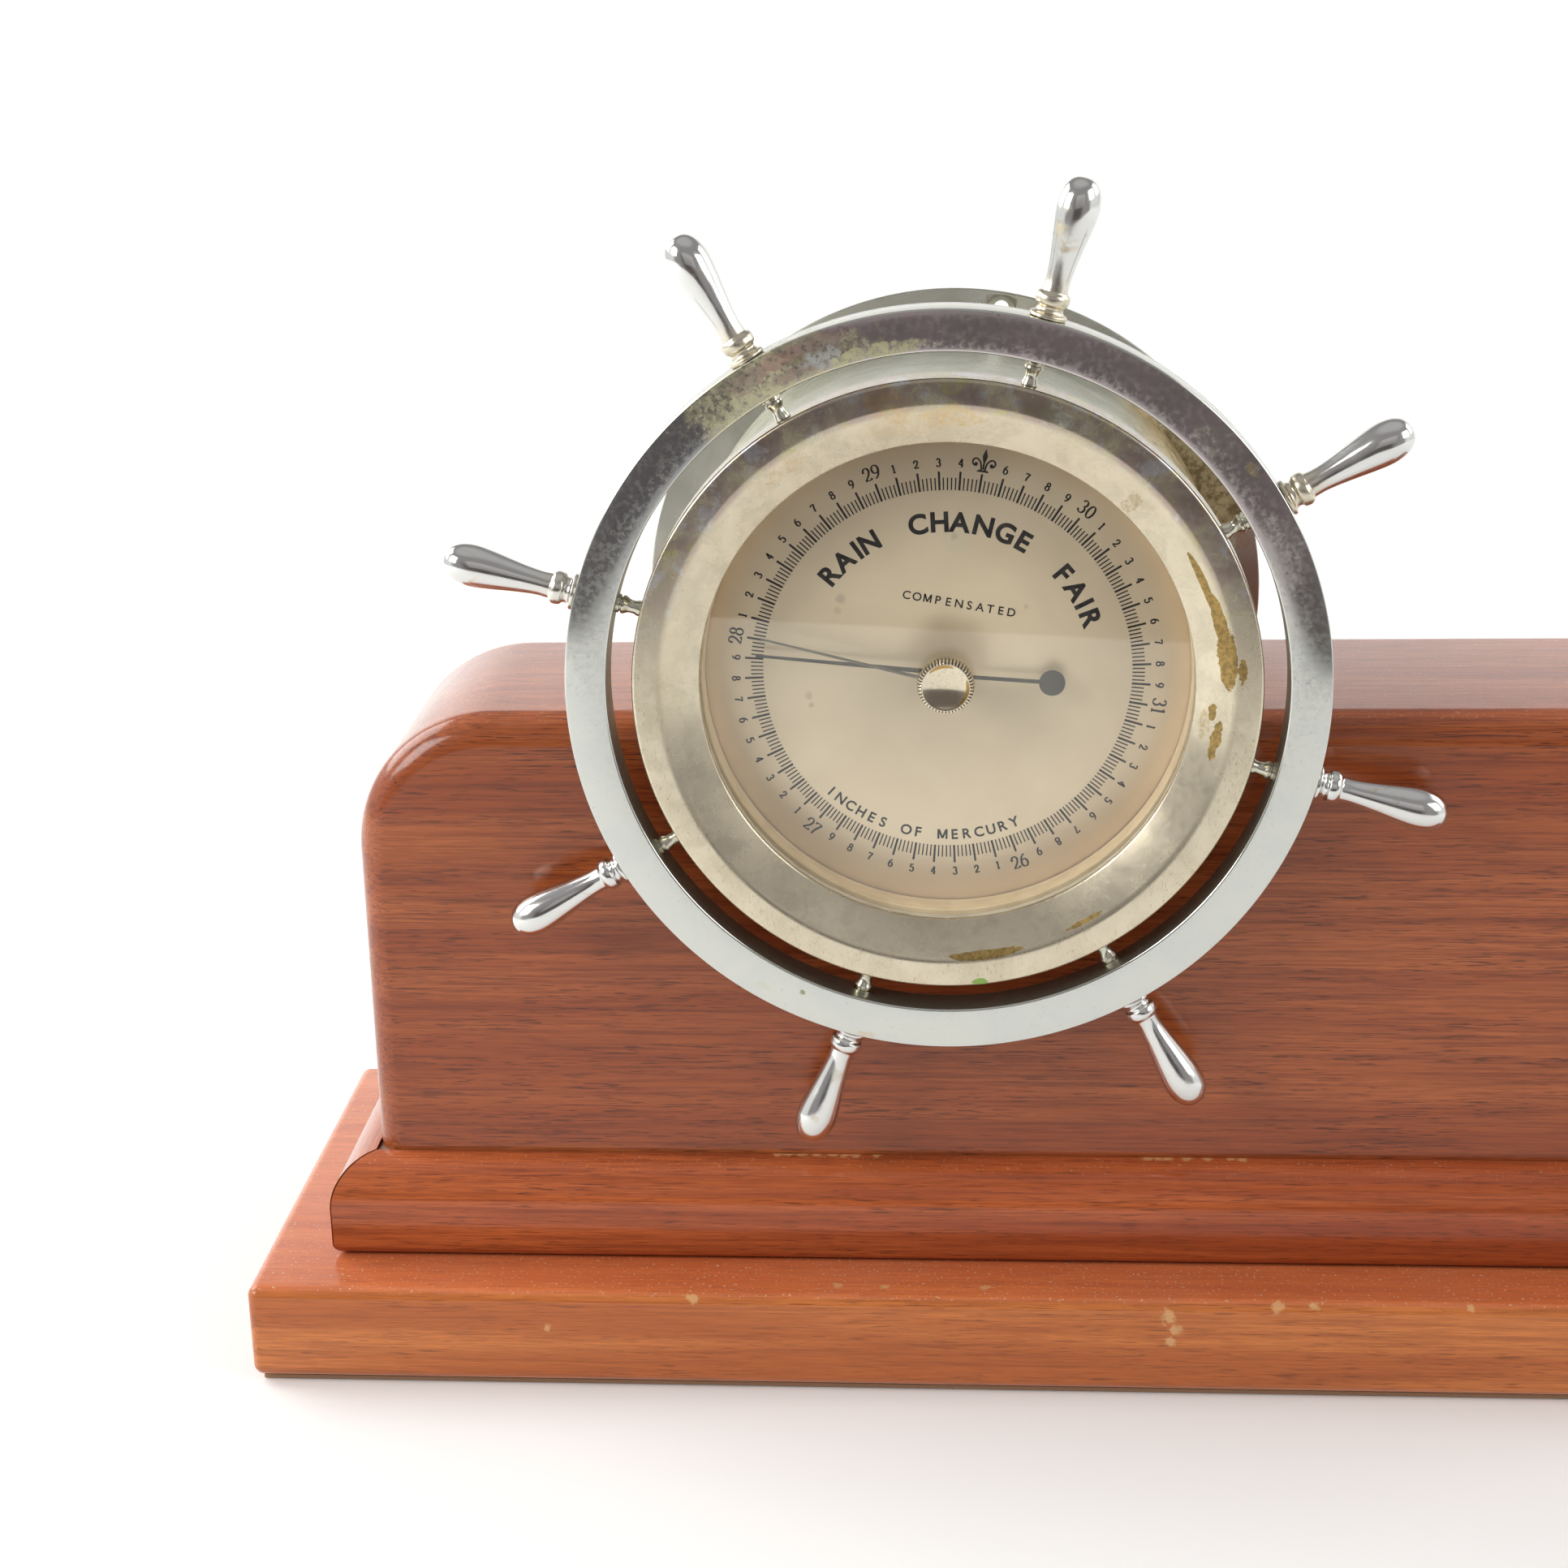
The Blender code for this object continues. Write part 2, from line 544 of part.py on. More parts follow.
def make_set_hand(axis_empty):
    """The knob in front of the glass, its shank through a bush, and the thin hand it turns."""
    outline = hand_outline(SET_HAND_LENGTH, 0.18 * MM, 0.4 * MM, 3.2 * MM, 0.4 * MM, 4.5 * MM)
    mesh = plate_mesh("set_hand", outline, SET_HAND_DEPTH, SET_HAND_DEPTH + 0.4 * MM)
    turn = (0, SET_HAND_ANGLE, 0)
    hand = add_object("set_hand", mesh, "spring_steel", axis_empty, rotation=turn)
    drill(hand, 0, 0, SHANK_RADIUS + GAP, SET_HAND_DEPTH - MM, SET_HAND_DEPTH + MM, axis_empty)
    knob_back = KNOB_FRONT + KNOB_THICKNESS
    edge = 0.5 * MM
    knob = [(0, KNOB_FRONT), (KNOB_RADIUS - 2 * edge, KNOB_FRONT), (KNOB_RADIUS, KNOB_FRONT + edge),
            (KNOB_RADIUS, knob_back - edge), (KNOB_RADIUS - edge, knob_back), (SHANK_RADIUS, knob_back),
            (SHANK_RADIUS, SET_HAND_DEPTH + MM), (0, SET_HAND_DEPTH + MM)]
    solid_of_revolution("set_knob", knob, "chrome", axis_empty, 24)
    bush_inner = SHANK_RADIUS + GAP
    bush_outer = GLASS_HOLE - GAP
    bush = [(bush_inner, knob_back + GAP), (4.2 * MM, knob_back + GAP), (4.2 * MM, GLASS_FRONT - GAP),
            (bush_outer, GLASS_FRONT - GAP), (bush_outer, 12.5 * MM), (bush_inner, 12.5 * MM)]
    ring("glass_bush", bush, "brass", axis_empty, SMALL_SEGMENTS)


# --- movement ------------------------------------------------------------------------------------

def make_plate_and_posts(axis_empty):
    """The base plate, the pillars that carry the dial, and the posts to the case's back."""
    plate = solid_of_revolution("movement_plate", rod_profile(PLATE_RADIUS, PLATE_FRONT, PLATE_BACK),
                                "brass", axis_empty, 32)
    through = (PLATE_FRONT - MM, PLATE_BACK + MM)
    drill(plate, 0, 0, 3.0 * MM, *through, axis_empty)
    drill(plate, ADJUSTER_X, 0, ADJUSTER_RADIUS + 2 * GAP, *through, axis_empty)
    pillar = rod_profile(2.0 * MM, DIAL_BACK + GAP, PLATE_FRONT - GAP)
    for index, (x, z) in enumerate(((-29, 29), (29, 29), (0, -43.5))):
        solid_of_revolution(f"dial_pillar_{index + 1}", pillar, "brass", axis_empty, 12,
                            (x * MM, 0, z * MM))
    post = rod_profile(3.0 * MM, PLATE_BACK + GAP, FLANGE_FRONT - GAP)
    for index in range(3):
        x, z = polar(40 * MM, index * math.tau / 3)
        solid_of_revolution(f"movement_post_{index + 1}", post, "brass", axis_empty, 12, (x, 0, z))


def corrugation(inner, outer, base, step, waves):
    """Points along a rippled diaphragm, from inner to outer radius, rising by step at the crests."""
    points = []
    for index in range(2 * waves + 1):
        radius = inner + (outer - inner) * index / (2 * waves)
        points.append((radius, base + (step if index % 2 else 0.0)))
    return points


def make_capsule(axis_empty):
    """The sealed aneroid capsule: two rippled diaphragms joined at the rim, and an anchor stud."""
    ripple = 0.9 * MM
    front = corrugation(11 * MM, 27 * MM, CAPSULE_FRONT, ripple, 4)
    rear = corrugation(11 * MM, 27 * MM, CAPSULE_REAR, -ripple, 4)
    rim_front = (CAPSULE_FRONT + CAPSULE_REAR) / 2 - 0.8 * MM
    rim_rear = rim_front + 1.6 * MM
    anchor_end = PLATE_BACK + 3 * MM
    profile = [(0, CAPSULE_FRONT), *front, (CAPSULE_RADIUS, rim_front), (CAPSULE_RADIUS, rim_rear)]
    profile += [*reversed(rear), (9 * MM, PLATE_FRONT - GAP), (2.6 * MM, PLATE_FRONT - GAP)]
    profile += [(2.6 * MM, anchor_end), (0, anchor_end)]
    solid_of_revolution("capsule", profile, "brass", axis_empty, 24)
    boss_back = CAPSULE_FRONT - 0.8 * MM
    stud = [(0, 44.0 * MM), (2.0 * MM, 44.0 * MM), (2.0 * MM, boss_back - MM), (8.5 * MM, boss_back - MM),
            (8.5 * MM, boss_back), (0, boss_back)]
    stud_object = solid_of_revolution("capsule_stud", stud, "brass", axis_empty, 16)
    pin_back = SPRING_FRONT - GAP
    pin = box_mesh("knife_edge", (-0.7 * MM, pin_back - 1.4 * MM, -5 * MM), (0.7 * MM, pin_back, 5 * MM))
    combine(stud_object, pin, "UNION", axis_empty)


def make_spring_and_lever(axis_empty):
    """The mainspring leaf on its bridge, and the compensated lever on the leaf's free end."""
    root = add_empty("spring_root", (SPRING_ROOT_X, SPRING_FRONT + SPRING_THICKNESS / 2, 0), axis_empty)
    half = SPRING_THICKNESS / 2
    leaf_end = 52 * MM
    leaf = box("mainspring", (-7 * MM, -half, -16 * MM), (leaf_end, half, 16 * MM), "spring_steel", root)
    tool = turned_mesh("stud_hole", rod_profile(2.6 * MM, -MM, MM), SMALL_SEGMENTS, False)
    combine(leaf, tool, "DIFFERENCE", root, (-SPRING_ROOT_X, 0, 0))
    lever_back = -half - GAP
    lever_front = lever_back - 1.2 * MM
    tip = LINK_X - SPRING_ROOT_X + 1.5 * MM
    outline = [(42 * MM, -4 * MM), (leaf_end, -4 * MM), (leaf_end + 3 * MM, -1.8 * MM), (tip, -1.8 * MM),
               (tip, 1.8 * MM), (leaf_end + 3 * MM, 1.8 * MM), (leaf_end, 4 * MM), (42 * MM, 4 * MM)]
    add_object("main_lever", plate_mesh("main_lever", outline, lever_front, lever_back), "spring_steel",
               root)
    make_spring_bridge(axis_empty)
    link_front = ROCKER_DEPTH + 1.1 * MM
    link_back = SPRING_FRONT - GAP - 1.2 * MM - GAP
    solid_of_revolution("lever_link", rod_profile(0.6 * MM, link_front, link_back), "spring_steel",
                        axis_empty, 10, (LINK_X, 0, 0))


def make_spring_bridge(axis_empty):
    """A bracket over the plate: two legs and a cross bar behind the mainspring's root."""
    bar_front = SPRING_FRONT + SPRING_THICKNESS + GAP
    channel("spring_bridge", -40.5 * MM, 3.5 * MM, 14 * MM, 18 * MM, bar_front, bar_front + 3 * MM,
            PLATE_FRONT - GAP, axis_empty)


def channel(name, middle_x, half_width, inner, outer, web, web_inside, leg_end, axis_empty):
    """A brass U-shaped bracket along Z, its web at one depth and its two legs reaching another."""
    outline = [(web, -outer), (web, outer), (leg_end, outer), (leg_end, inner), (web_inside, inner),
               (web_inside, -inner), (leg_end, -inner), (leg_end, -outer)]
    corners = [(middle_x - half_width, depth, z) for depth, z in outline]
    mesh = extruded_mesh(name, corners, (2 * half_width, 0, 0))
    return add_object(name, mesh, "brass", axis_empty)


def make_arbor(axis_empty):
    """The pointer's arbor with its chain pulley, its bridge and cock, and the hairspring."""
    cheek = PULLEY_RADIUS + 0.8 * MM
    inside = 0.9 * MM
    outside = inside + 0.5 * MM
    arbor_front, arbor_back = 15.4 * MM, 34.5 * MM
    profile = [(0, arbor_front), (ARBOR_RADIUS, arbor_front), (ARBOR_RADIUS, CHAIN_DEPTH - outside),
               (cheek, CHAIN_DEPTH - outside), (cheek, CHAIN_DEPTH - inside - 0.1 * MM),
               (PULLEY_RADIUS, CHAIN_DEPTH - inside), (PULLEY_RADIUS, CHAIN_DEPTH + inside),
               (cheek, CHAIN_DEPTH + inside + 0.1 * MM), (cheek, CHAIN_DEPTH + outside),
               (ARBOR_RADIUS, CHAIN_DEPTH + outside), (ARBOR_RADIUS, arbor_back), (0, arbor_back)]
    solid_of_revolution("pointer_arbor", profile, "brass", axis_empty)
    bearing = ARBOR_RADIUS + GAP
    cock = channel("arbor_cock", 0, 4 * MM, 8 * MM, 9.2 * MM, 22.4 * MM, 23.6 * MM, BRIDGE_FRONT - GAP,
                   axis_empty)
    drill(cock, 0, 0, bearing, 21 * MM, 25 * MM, axis_empty)
    bridge_back = BRIDGE_FRONT + 1.5 * MM
    bridge = channel("arbor_bridge", 0, 4 * MM, 36.5 * MM, 38 * MM, BRIDGE_FRONT, bridge_back,
                     PLATE_FRONT - GAP, axis_empty)
    drill(bridge, 0, 0, bearing, BRIDGE_FRONT - MM, bridge_back + MM, axis_empty)
    add_object("hairspring", hairspring_mesh(), "spring_steel", axis_empty)


def hairspring_mesh():
    """A flat spiral strip wound round the arbor."""
    front, back = 29.4 * MM, 30.4 * MM
    half_thickness = 0.15 * MM
    turns, steps_per_turn = 3, 14
    steps = turns * steps_per_turn
    bm = bmesh.new()
    sections = []
    for step in range(steps + 1):
        angle = math.tau * step / steps_per_turn
        radius = (2.2 + 1.3 * step / steps_per_turn) * MM
        section = []
        for offset, depth in ((-1, front), (1, front), (1, back), (-1, back)):
            x, z = polar(radius + offset * half_thickness, angle)
            section.append(bm.verts.new((x, depth, z)))
        sections.append(section)
    for here, there in zip(sections, sections[1:]):
        for index in range(4):
            after = (index + 1) % 4
            bm.faces.new((here[index], here[after], there[after], there[index]))
    bm.faces.new(sections[0])
    bm.faces.new(sections[-1])
    return finish_mesh(bm, "hairspring")


def make_rocker(axis_empty):
    """The rocking shaft with its link arm and chain arm, its bracket, and the chain."""
    pivot = add_empty("rocker_axis", (ROCKER_X, ROCKER_DEPTH, 0), axis_empty)
    shaft_mesh = turned_mesh("rocking_shaft", rod_profile(1.0 * MM, -11 * MM, 11 * MM), 12, False,
                             along_y=False)
    shaft = add_object("rocking_shaft", shaft_mesh, "spring_steel", pivot)
    link_arm = box_mesh("link_arm", (-4.0 * MM, -0.6 * MM, -0.8 * MM), (0, 0.6 * MM, 0.8 * MM))
    combine(shaft, link_arm, "UNION", pivot)
    chain_z = -(PULLEY_RADIUS + CHAIN_RADIUS + 0.15 * MM)
    reach = CHAIN_DEPTH - ROCKER_DEPTH - 0.6 * MM
    chain_arm = box_mesh("chain_arm", (-0.6 * MM, reach, chain_z - 0.7 * MM), (0.6 * MM, 0, -0.9 * MM))
    combine(shaft, chain_arm, "UNION", pivot)
    chain_start = 1.0 * MM
    chain_end = ROCKER_X - 0.6 * MM - GAP
    chain_mesh = turned_mesh("chain", rod_profile(CHAIN_RADIUS, chain_start, chain_end), 6, False,
                             along_y=False)
    add_object("chain", chain_mesh, "spring_steel", axis_empty, (0, CHAIN_DEPTH, chain_z),
               (0, math.pi / 2, 0))
    make_rocker_bracket(axis_empty)


def make_rocker_bracket(axis_empty):
    """Two ears on a foot, drilled for the rocking shaft."""
    foot = PLATE_FRONT - GAP
    bracket = channel("rocking_bracket", ROCKER_X, 2.5 * MM, 8.5 * MM, 10 * MM, foot, foot - 2.2 * MM,
                      ROCKER_DEPTH - 2.5 * MM, axis_empty)
    bore = turned_mesh("bore", rod_profile(1.3 * MM, -12 * MM, 12 * MM), SMALL_SEGMENTS, False,
                       along_y=False)
    combine(bracket, bore, "DIFFERENCE", axis_empty, (ROCKER_X, ROCKER_DEPTH, 0))


def make_adjuster(axis_empty):
    """The long adjusting screw, reached through the back plate, that bears on the spring bridge."""
    tip = SPRING_FRONT + SPRING_THICKNESS + GAP + 3 * MM + GAP
    head_front = FLANGE_FRONT - 1.0 * MM
    head_back = FLANGE_BACK - GAP
    profile = [(0, tip), (ADJUSTER_RADIUS, tip), (ADJUSTER_RADIUS, head_front), (3.3 * MM, head_front),
               (3.3 * MM, head_back), (0, head_back)]
    screw = solid_of_revolution("adjusting_screw", profile, "brass", axis_empty,
                                location=(ADJUSTER_X, 0, 0))
    slot = box_mesh("slot", (-4 * MM, head_back - 1.2 * MM, -0.45 * MM), (4 * MM, head_back + MM, 0.45 * MM))
    combine(screw, slot, "DIFFERENCE", axis_empty, (ADJUSTER_X, 0, 0))


def make_movement(axis_empty):
    make_plate_and_posts(axis_empty)
    make_capsule(axis_empty)
    make_spring_and_lever(axis_empty)
    make_arbor(axis_empty)
    make_rocker(axis_empty)
    make_adjuster(axis_empty)


def main():
    clear_scene()
    axis_empty = add_empty("dial_axis", AXIS)
    block = make_stand(axis_empty)
    make_wheel(axis_empty)
    make_case(axis_empty, block)
    make_dial_and_hands(axis_empty)
    make_movement(axis_empty)


main()
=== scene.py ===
"""How a ship's barometer looks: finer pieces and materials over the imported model.

Metres throughout.  A place on the instrument is (x to the right, depth behind the wheel's front face, z up)
from the dial's axis.  Angles are clockwise from twelve o'clock, as the dial is read.
"""
import json
import math

import bmesh
import bpy
from mathutils import Matrix, Vector


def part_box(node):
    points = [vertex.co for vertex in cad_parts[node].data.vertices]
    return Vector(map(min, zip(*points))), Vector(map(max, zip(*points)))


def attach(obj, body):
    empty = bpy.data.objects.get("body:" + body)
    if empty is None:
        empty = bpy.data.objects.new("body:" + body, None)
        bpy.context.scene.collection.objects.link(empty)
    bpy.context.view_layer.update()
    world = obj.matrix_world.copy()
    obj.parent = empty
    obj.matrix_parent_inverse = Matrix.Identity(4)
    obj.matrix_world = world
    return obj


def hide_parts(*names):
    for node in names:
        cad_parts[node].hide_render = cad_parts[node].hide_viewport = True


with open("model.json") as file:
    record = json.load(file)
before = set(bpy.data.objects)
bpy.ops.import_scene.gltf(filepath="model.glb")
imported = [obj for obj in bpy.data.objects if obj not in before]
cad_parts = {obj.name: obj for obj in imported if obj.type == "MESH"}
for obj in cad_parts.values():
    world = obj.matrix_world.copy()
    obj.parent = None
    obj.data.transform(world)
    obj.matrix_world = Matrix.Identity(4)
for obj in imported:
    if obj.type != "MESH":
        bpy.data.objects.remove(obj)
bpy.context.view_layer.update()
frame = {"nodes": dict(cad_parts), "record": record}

MM = 0.001
WHEEL_LOW, WHEEL_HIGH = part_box("wheel_rim")
RIM_OUTER = (WHEEL_HIGH.x - WHEEL_LOW.x) / 2
AXIS = Vector(((WHEEL_LOW.x + WHEEL_HIGH.x) / 2, WHEEL_LOW.y, (WHEEL_LOW.z + WHEEL_HIGH.z) / 2))
RIM_INNER = 80.6 * MM
RIM_THICKNESS = WHEEL_HIGH.y - WHEEL_LOW.y
HANDLE_COUNT = 8
FIRST_HANDLE_ANGLE = math.radians(15.2)
HANDLE_LEANS = {5: math.radians(6.0)}      # this one is knocked a little out of line
FACE = Matrix.Translation(AXIS) @ Matrix.Rotation(-math.pi / 2, 4, "X")   # +Z of a turned piece is depth
DIAL_TURN = math.radians(10.15)       # the printed scale sits a little clockwise of upright
DIAL_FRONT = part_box("dial")[0].y - AXIS.y
INK_DEPTH, INK_RAISE = 0.01 * MM, 0.04 * MM     # the print starts just off the dial and stands proud of it
BLOCK_EDGE = 7.5 * MM
KNURL_TEETH = 48


def depth_of(node):
    """A CAD node's front and back depths."""
    low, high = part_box(node)
    return low.y - AXIS.y, high.y - AXIS.y


def radius_of(node):
    """Half a CAD node's width."""
    low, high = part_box(node)
    return (high.x - low.x) / 2


def middle_of(node):
    low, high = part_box(node)
    return (low + high) / 2


# --- meshes --------------------------------------------------------------------------------------

def add_object(name, data):
    made = bpy.data.objects.new(name, data)
    bpy.context.scene.collection.objects.link(made)
    return made


def bridge(bm, rings, closed=True):
    """Quads between each ring of vertices and the next."""
    count = len(rings[0]) if closed else len(rings[0]) - 1
    for here, there in zip(rings, rings[1:]):
        for index in range(count):
            after = (index + 1) % len(here)
            bm.faces.new((here[index], here[after], there[after], there[index]))


def extrude(bm, faces, along):
    moved = bmesh.ops.extrude_face_region(bm, geom=faces)["geom"]
    verts = [item for item in moved if isinstance(item, bmesh.types.BMVert)]
    bmesh.ops.translate(bm, verts=verts, vec=along)


def keep_mesh(bm, name, sharp=30):
    """Finish a bmesh as an object whose faces point outwards."""
    bmesh.ops.remove_doubles(bm, verts=bm.verts, dist=1e-7)
    bmesh.ops.recalc_face_normals(bm, faces=bm.faces)
    mesh = bpy.data.meshes.new(name)
    bm.to_mesh(mesh)
    bm.free()
    mesh.shade_smooth()
    mesh.set_sharp_from_angle(angle=math.radians(sharp))
    return add_object(name, mesh)


def dress(piece, material, body, slot, *nodes):
    """Give a piece its material and its body, and hide the CAD nodes it stands for. The slot is not used."""
    piece.data.materials.clear()
    piece.data.materials.append(material)
    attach(piece, body)
    if nodes:
        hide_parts(*nodes)
    return piece


def rounded(points, radii, steps=5):
    """Replace corners of a closed outline with arcs of the given radii."""
    outline = []
    count = len(points)
    for index, (point, radius) in enumerate(zip(points, radii)):
        here = Vector(point)
        if not radius:
            outline.append(tuple(here))
            continue
        before = (Vector(points[index - 1]) - here).normalized()
        after = (Vector(points[(index + 1) % count]) - here).normalized()
        half = before.angle(after) / 2
        centre = here + (before + after).normalized() * radius / math.sin(half)
        start = here + before * radius / math.tan(half) - centre
        sweep = start.angle_signed(here + after * radius / math.tan(half) - centre)
        for step in range(steps + 1):
            outline.append(tuple(centre + Matrix.Rotation(-sweep * step / steps, 2) @ start))
    return outline


def smooth_line(points, steps=6):
    """A Catmull-Rom curve through the points."""
    curve = []
    count = len(points)
    for index in range(count - 1):
        p0, p1, p2, p3 = (Vector(points[min(max(index + k, 0), count - 1)]) for k in (-1, 0, 1, 2))
        for step in range(steps):
            t = step / steps
            curve.append(tuple(0.5 * (2 * p1 + (p2 - p0) * t + (2 * p0 - 5 * p1 + 4 * p2 - p3) * t * t
                                      + (3 * p1 - 3 * p2 + p3 - p0) * t ** 3)))
    return curve + [tuple(points[-1])]


def lathe(name, profile, segments=192, closed=True, matrix=FACE, knurl=None):
    """Turn a profile of (radius, distance) points about the matrix's Z axis.

    knurl is (teeth, depth, lowest radius): points beyond that radius get teeth.
    """
    bm = bmesh.new()
    rings = []
    for step in range(segments):
        angle = math.tau * step / segments
        ring = []
        for radius, along in profile:
            if knurl and radius > knurl[2]:
                radius -= knurl[1] * (0.5 + 0.5 * math.cos(angle * knurl[0]))
            ring.append(bm.verts.new((radius * math.cos(angle), radius * math.sin(angle), along)))
        rings.append(ring)
    bridge(bm, rings + rings[:1], closed)
    bm.transform(matrix)
    bmesh.ops.dissolve_degenerate(bm, dist=1e-8, edges=bm.edges)
    return keep_mesh(bm, name)


def plate(name, outline, front, back, matrix, bevel):
    """Extrude an outline of dial-plane (x, z) points from one depth to another, and ease its edges."""
    bm = bmesh.new()
    face = bm.faces.new([bm.verts.new((x, front, z)) for x, z in outline])
    extrude(bm, [face], (0, back - front, 0))
    bmesh.ops.recalc_face_normals(bm, faces=bm.faces)
    rims = [edge for edge in bm.edges if abs(edge.verts[0].co.y - edge.verts[1].co.y) < 1e-7]
    bmesh.ops.bevel(bm, geom=rims, offset=bevel, offset_type="OFFSET", segments=2, profile=0.5,
                    affect="EDGES")
    bm.transform(Matrix.Translation(AXIS) @ matrix)
    return keep_mesh(bm, name)


def cut(piece, tool):
    """Cut a tool out of a piece for good, and drop the tool."""
    boolean = piece.modifiers.new("cut", "BOOLEAN")
    boolean.operation = "DIFFERENCE"
    boolean.solver = "EXACT"
    boolean.object = tool
    depsgraph = bpy.context.evaluated_depsgraph_get()
    mesh = bpy.data.meshes.new_from_object(piece.evaluated_get(depsgraph))
    piece.modifiers.clear()
    piece.data = mesh
    mesh.shade_smooth()
    mesh.set_sharp_from_angle(angle=math.radians(30))
    bpy.data.objects.remove(tool, do_unlink=True)
    return piece


def drill(piece, matrix, start, end, hole, sink=0.0, segments=40):
    """Drill a hole along the matrix's Z axis, countersunk at its start if sink is given."""
    profile = [(0, start - MM), (hole, start - MM), (hole, end + MM), (0, end + MM)]
    if sink:
        profile[1:2] = [(sink + MM, start - MM), (hole, start + sink - hole)]
    cut(piece, lathe("hole_tool", profile, segments, False, matrix))


def facing_back(centre):
    """A place whose +Z is depth."""
    return Matrix.Translation(centre) @ Matrix.Rotation(-math.pi / 2, 4, "X")


def arc(centre, radii, start, end, steps=12):
    """Points on an ellipse; angles in degrees, anticlockwise from +x."""
    points = []
    for step in range(steps + 1):
        angle = math.radians(start + (end - start) * step / steps)
        points.append((centre[0] + radii[0] * math.cos(angle), centre[1] + radii[1] * math.sin(angle)))
    return points


# --- shaders -------------------------------------------------------------------------------------

def add_node(tree, kind, inputs=None, **settings):
    """Add a node whose inputs are numbers, colours or other nodes' values."""
    made = tree.nodes.new(kind)
    for key, value in settings.items():
        setattr(made, key, value)
    for key, value in (inputs or {}).items():
        feed(made.inputs[key], value)
    return made


def feed(socket, value):
    """Link a value to a socket, or set the socket to a number or colour."""
    if isinstance(value, Value):
        value.tree.links.new(value.socket, socket)
    elif hasattr(value, "__len__") and len(value) == 3 and socket.type == "RGBA":
        socket.default_value = (*value, 1.0)
    else:
        socket.default_value = value


def split(vector):
    """The three parts of a vector value."""
    parts = add_node(vector.tree, "ShaderNodeSeparateXYZ", {0: vector}).outputs
    return [Value(vector.tree, part) for part in parts]


class Value:
    """A node's output.  Arithmetic on it adds nodes."""

    def __init__(self, tree, socket):
        self.tree, self.socket = tree, socket

    def math(self, operation, other=0.0):
        made = add_node(self.tree, "ShaderNodeMath", {0: self, 1: other}, operation=operation)
        return Value(self.tree, made.outputs["Value"])

    def __add__(self, other):
        return self.math("ADD", other)

    def __sub__(self, other):
        return self.math("SUBTRACT", other)

    def __mul__(self, other):
        return self.math("MULTIPLY", other)

    def __truediv__(self, other):
        return self.math("DIVIDE", other)

    def between(self, low, high, to_low=0.0, to_high=1.0):
        """The value mapped smoothly from low..high to to_low..to_high, held at the ends."""
        inputs = {"Value": self, "From Min": low, "From Max": high, "To Min": to_low, "To Max": to_high}
        made = add_node(self.tree, "ShaderNodeMapRange", inputs, interpolation_type="SMOOTHSTEP")
        return Value(self.tree, made.outputs["Result"])


class Shader:
    """A Principled material with short ways to add nodes to it."""

    def __init__(self, name, **settings):
        self.material = bpy.data.materials.new(name)
        self.material.use_nodes = True
        self.tree = self.material.node_tree
        self.surface = self.tree.nodes["Principled BSDF"]
        self.place = self.add("ShaderNodeTexCoord", "Object")
        self.around = None
        self.colour = None
        self.set(**settings)

    def add(self, kind, output, inputs=None, **settings):
        """One output of a new node."""
        return Value(self.tree, add_node(self.tree, kind, inputs, **settings).outputs[output])

    def set(self, **settings):
        for key, value in settings.items():
            feed(self.surface.inputs[key.replace("_", " ")], value)

    def noise(self, scale, detail=4.0, roughness=0.55, distortion=0.0, offset=(0, 0, 0)):
        """Noise with a frequency per metre for each axis, or one for all."""
        if not hasattr(scale, "__len__"):
            scale = (scale, scale, scale)
        inputs = {"Vector": self.place, "Scale": scale, "Location": offset}
        place = self.add("ShaderNodeMapping", "Vector", inputs)
        inputs = {"Vector": place, "Scale": 1.0, "Detail": detail, "Roughness": roughness,
                  "Distortion": distortion}
        return self.add("ShaderNodeTexNoise", "Fac", inputs)

    def mix(self, factor, a, b):
        """A colour between a and b."""
        return self.add("ShaderNodeMix", 2, {0: factor, 6: a, 7: b}, data_type="RGBA")

    def lay(self, cover, colour):
        """Lay a colour over the running one, as far as cover says."""
        self.colour = self.mix(cover, self.colour, colour)

    def ragged(self, level, softness, amount, frequency):
        """One where the level is under one, with a ragged and softened edge."""
        level = level + (self.noise(frequency, 5.0, 0.65) - 0.5) * (4 * amount)
        return level.between(1.0 + softness / 2, 1.0 - softness / 2)

    def patch(self, x, depth, z, reach, softness, amount, frequency):
        """A ragged spot of about that reach round a place on the instrument, in millimetres."""
        centre = AXIS + Vector((x, depth, z)) * MM
        away = self.add("ShaderNodeVectorMath", "Value", {0: self.place, 1: centre}, operation="DISTANCE")
        return self.ragged(away / (reach * MM), softness, amount, frequency)

    def from_axis(self):
        return self.add("ShaderNodeVectorMath", "Vector", {0: self.place, 1: AXIS}, operation="SUBTRACT")

    def polar(self):
        """Rightward, upward and outward distances from the dial's axis."""
        if not self.around:
            right, _, up = split(self.from_axis())
            self.around = right, up, (right * right + up * up).math("SQRT")
        return self.around

    def band(self, angle, radius, half_angle, half_width, softness, amount, frequency):
        """A ragged patch lying along a circle about the axis; degrees and millimetres."""
        right, up, out = self.polar()
        turn = math.radians(angle)
        aside = right * math.cos(turn) - up * math.sin(turn)
        ahead = right * math.sin(turn) + up * math.cos(turn)
        bearing = aside.math("ARCTAN2", ahead) / math.radians(half_angle)
        reach = (out - radius * MM) / (half_width * MM)
        level = (bearing * bearing + reach * reach).math("SQRT")
        return self.ragged(level, softness, amount, frequency)

    def bump(self, height, distance, strength, normal="Normal"):
        inputs = {"Height": height, "Distance": distance, "Strength": strength}
        self.set(**{normal: self.add("ShaderNodeBump", "Normal", inputs)})


# --- materials -----------------------------------------------------------------------------------

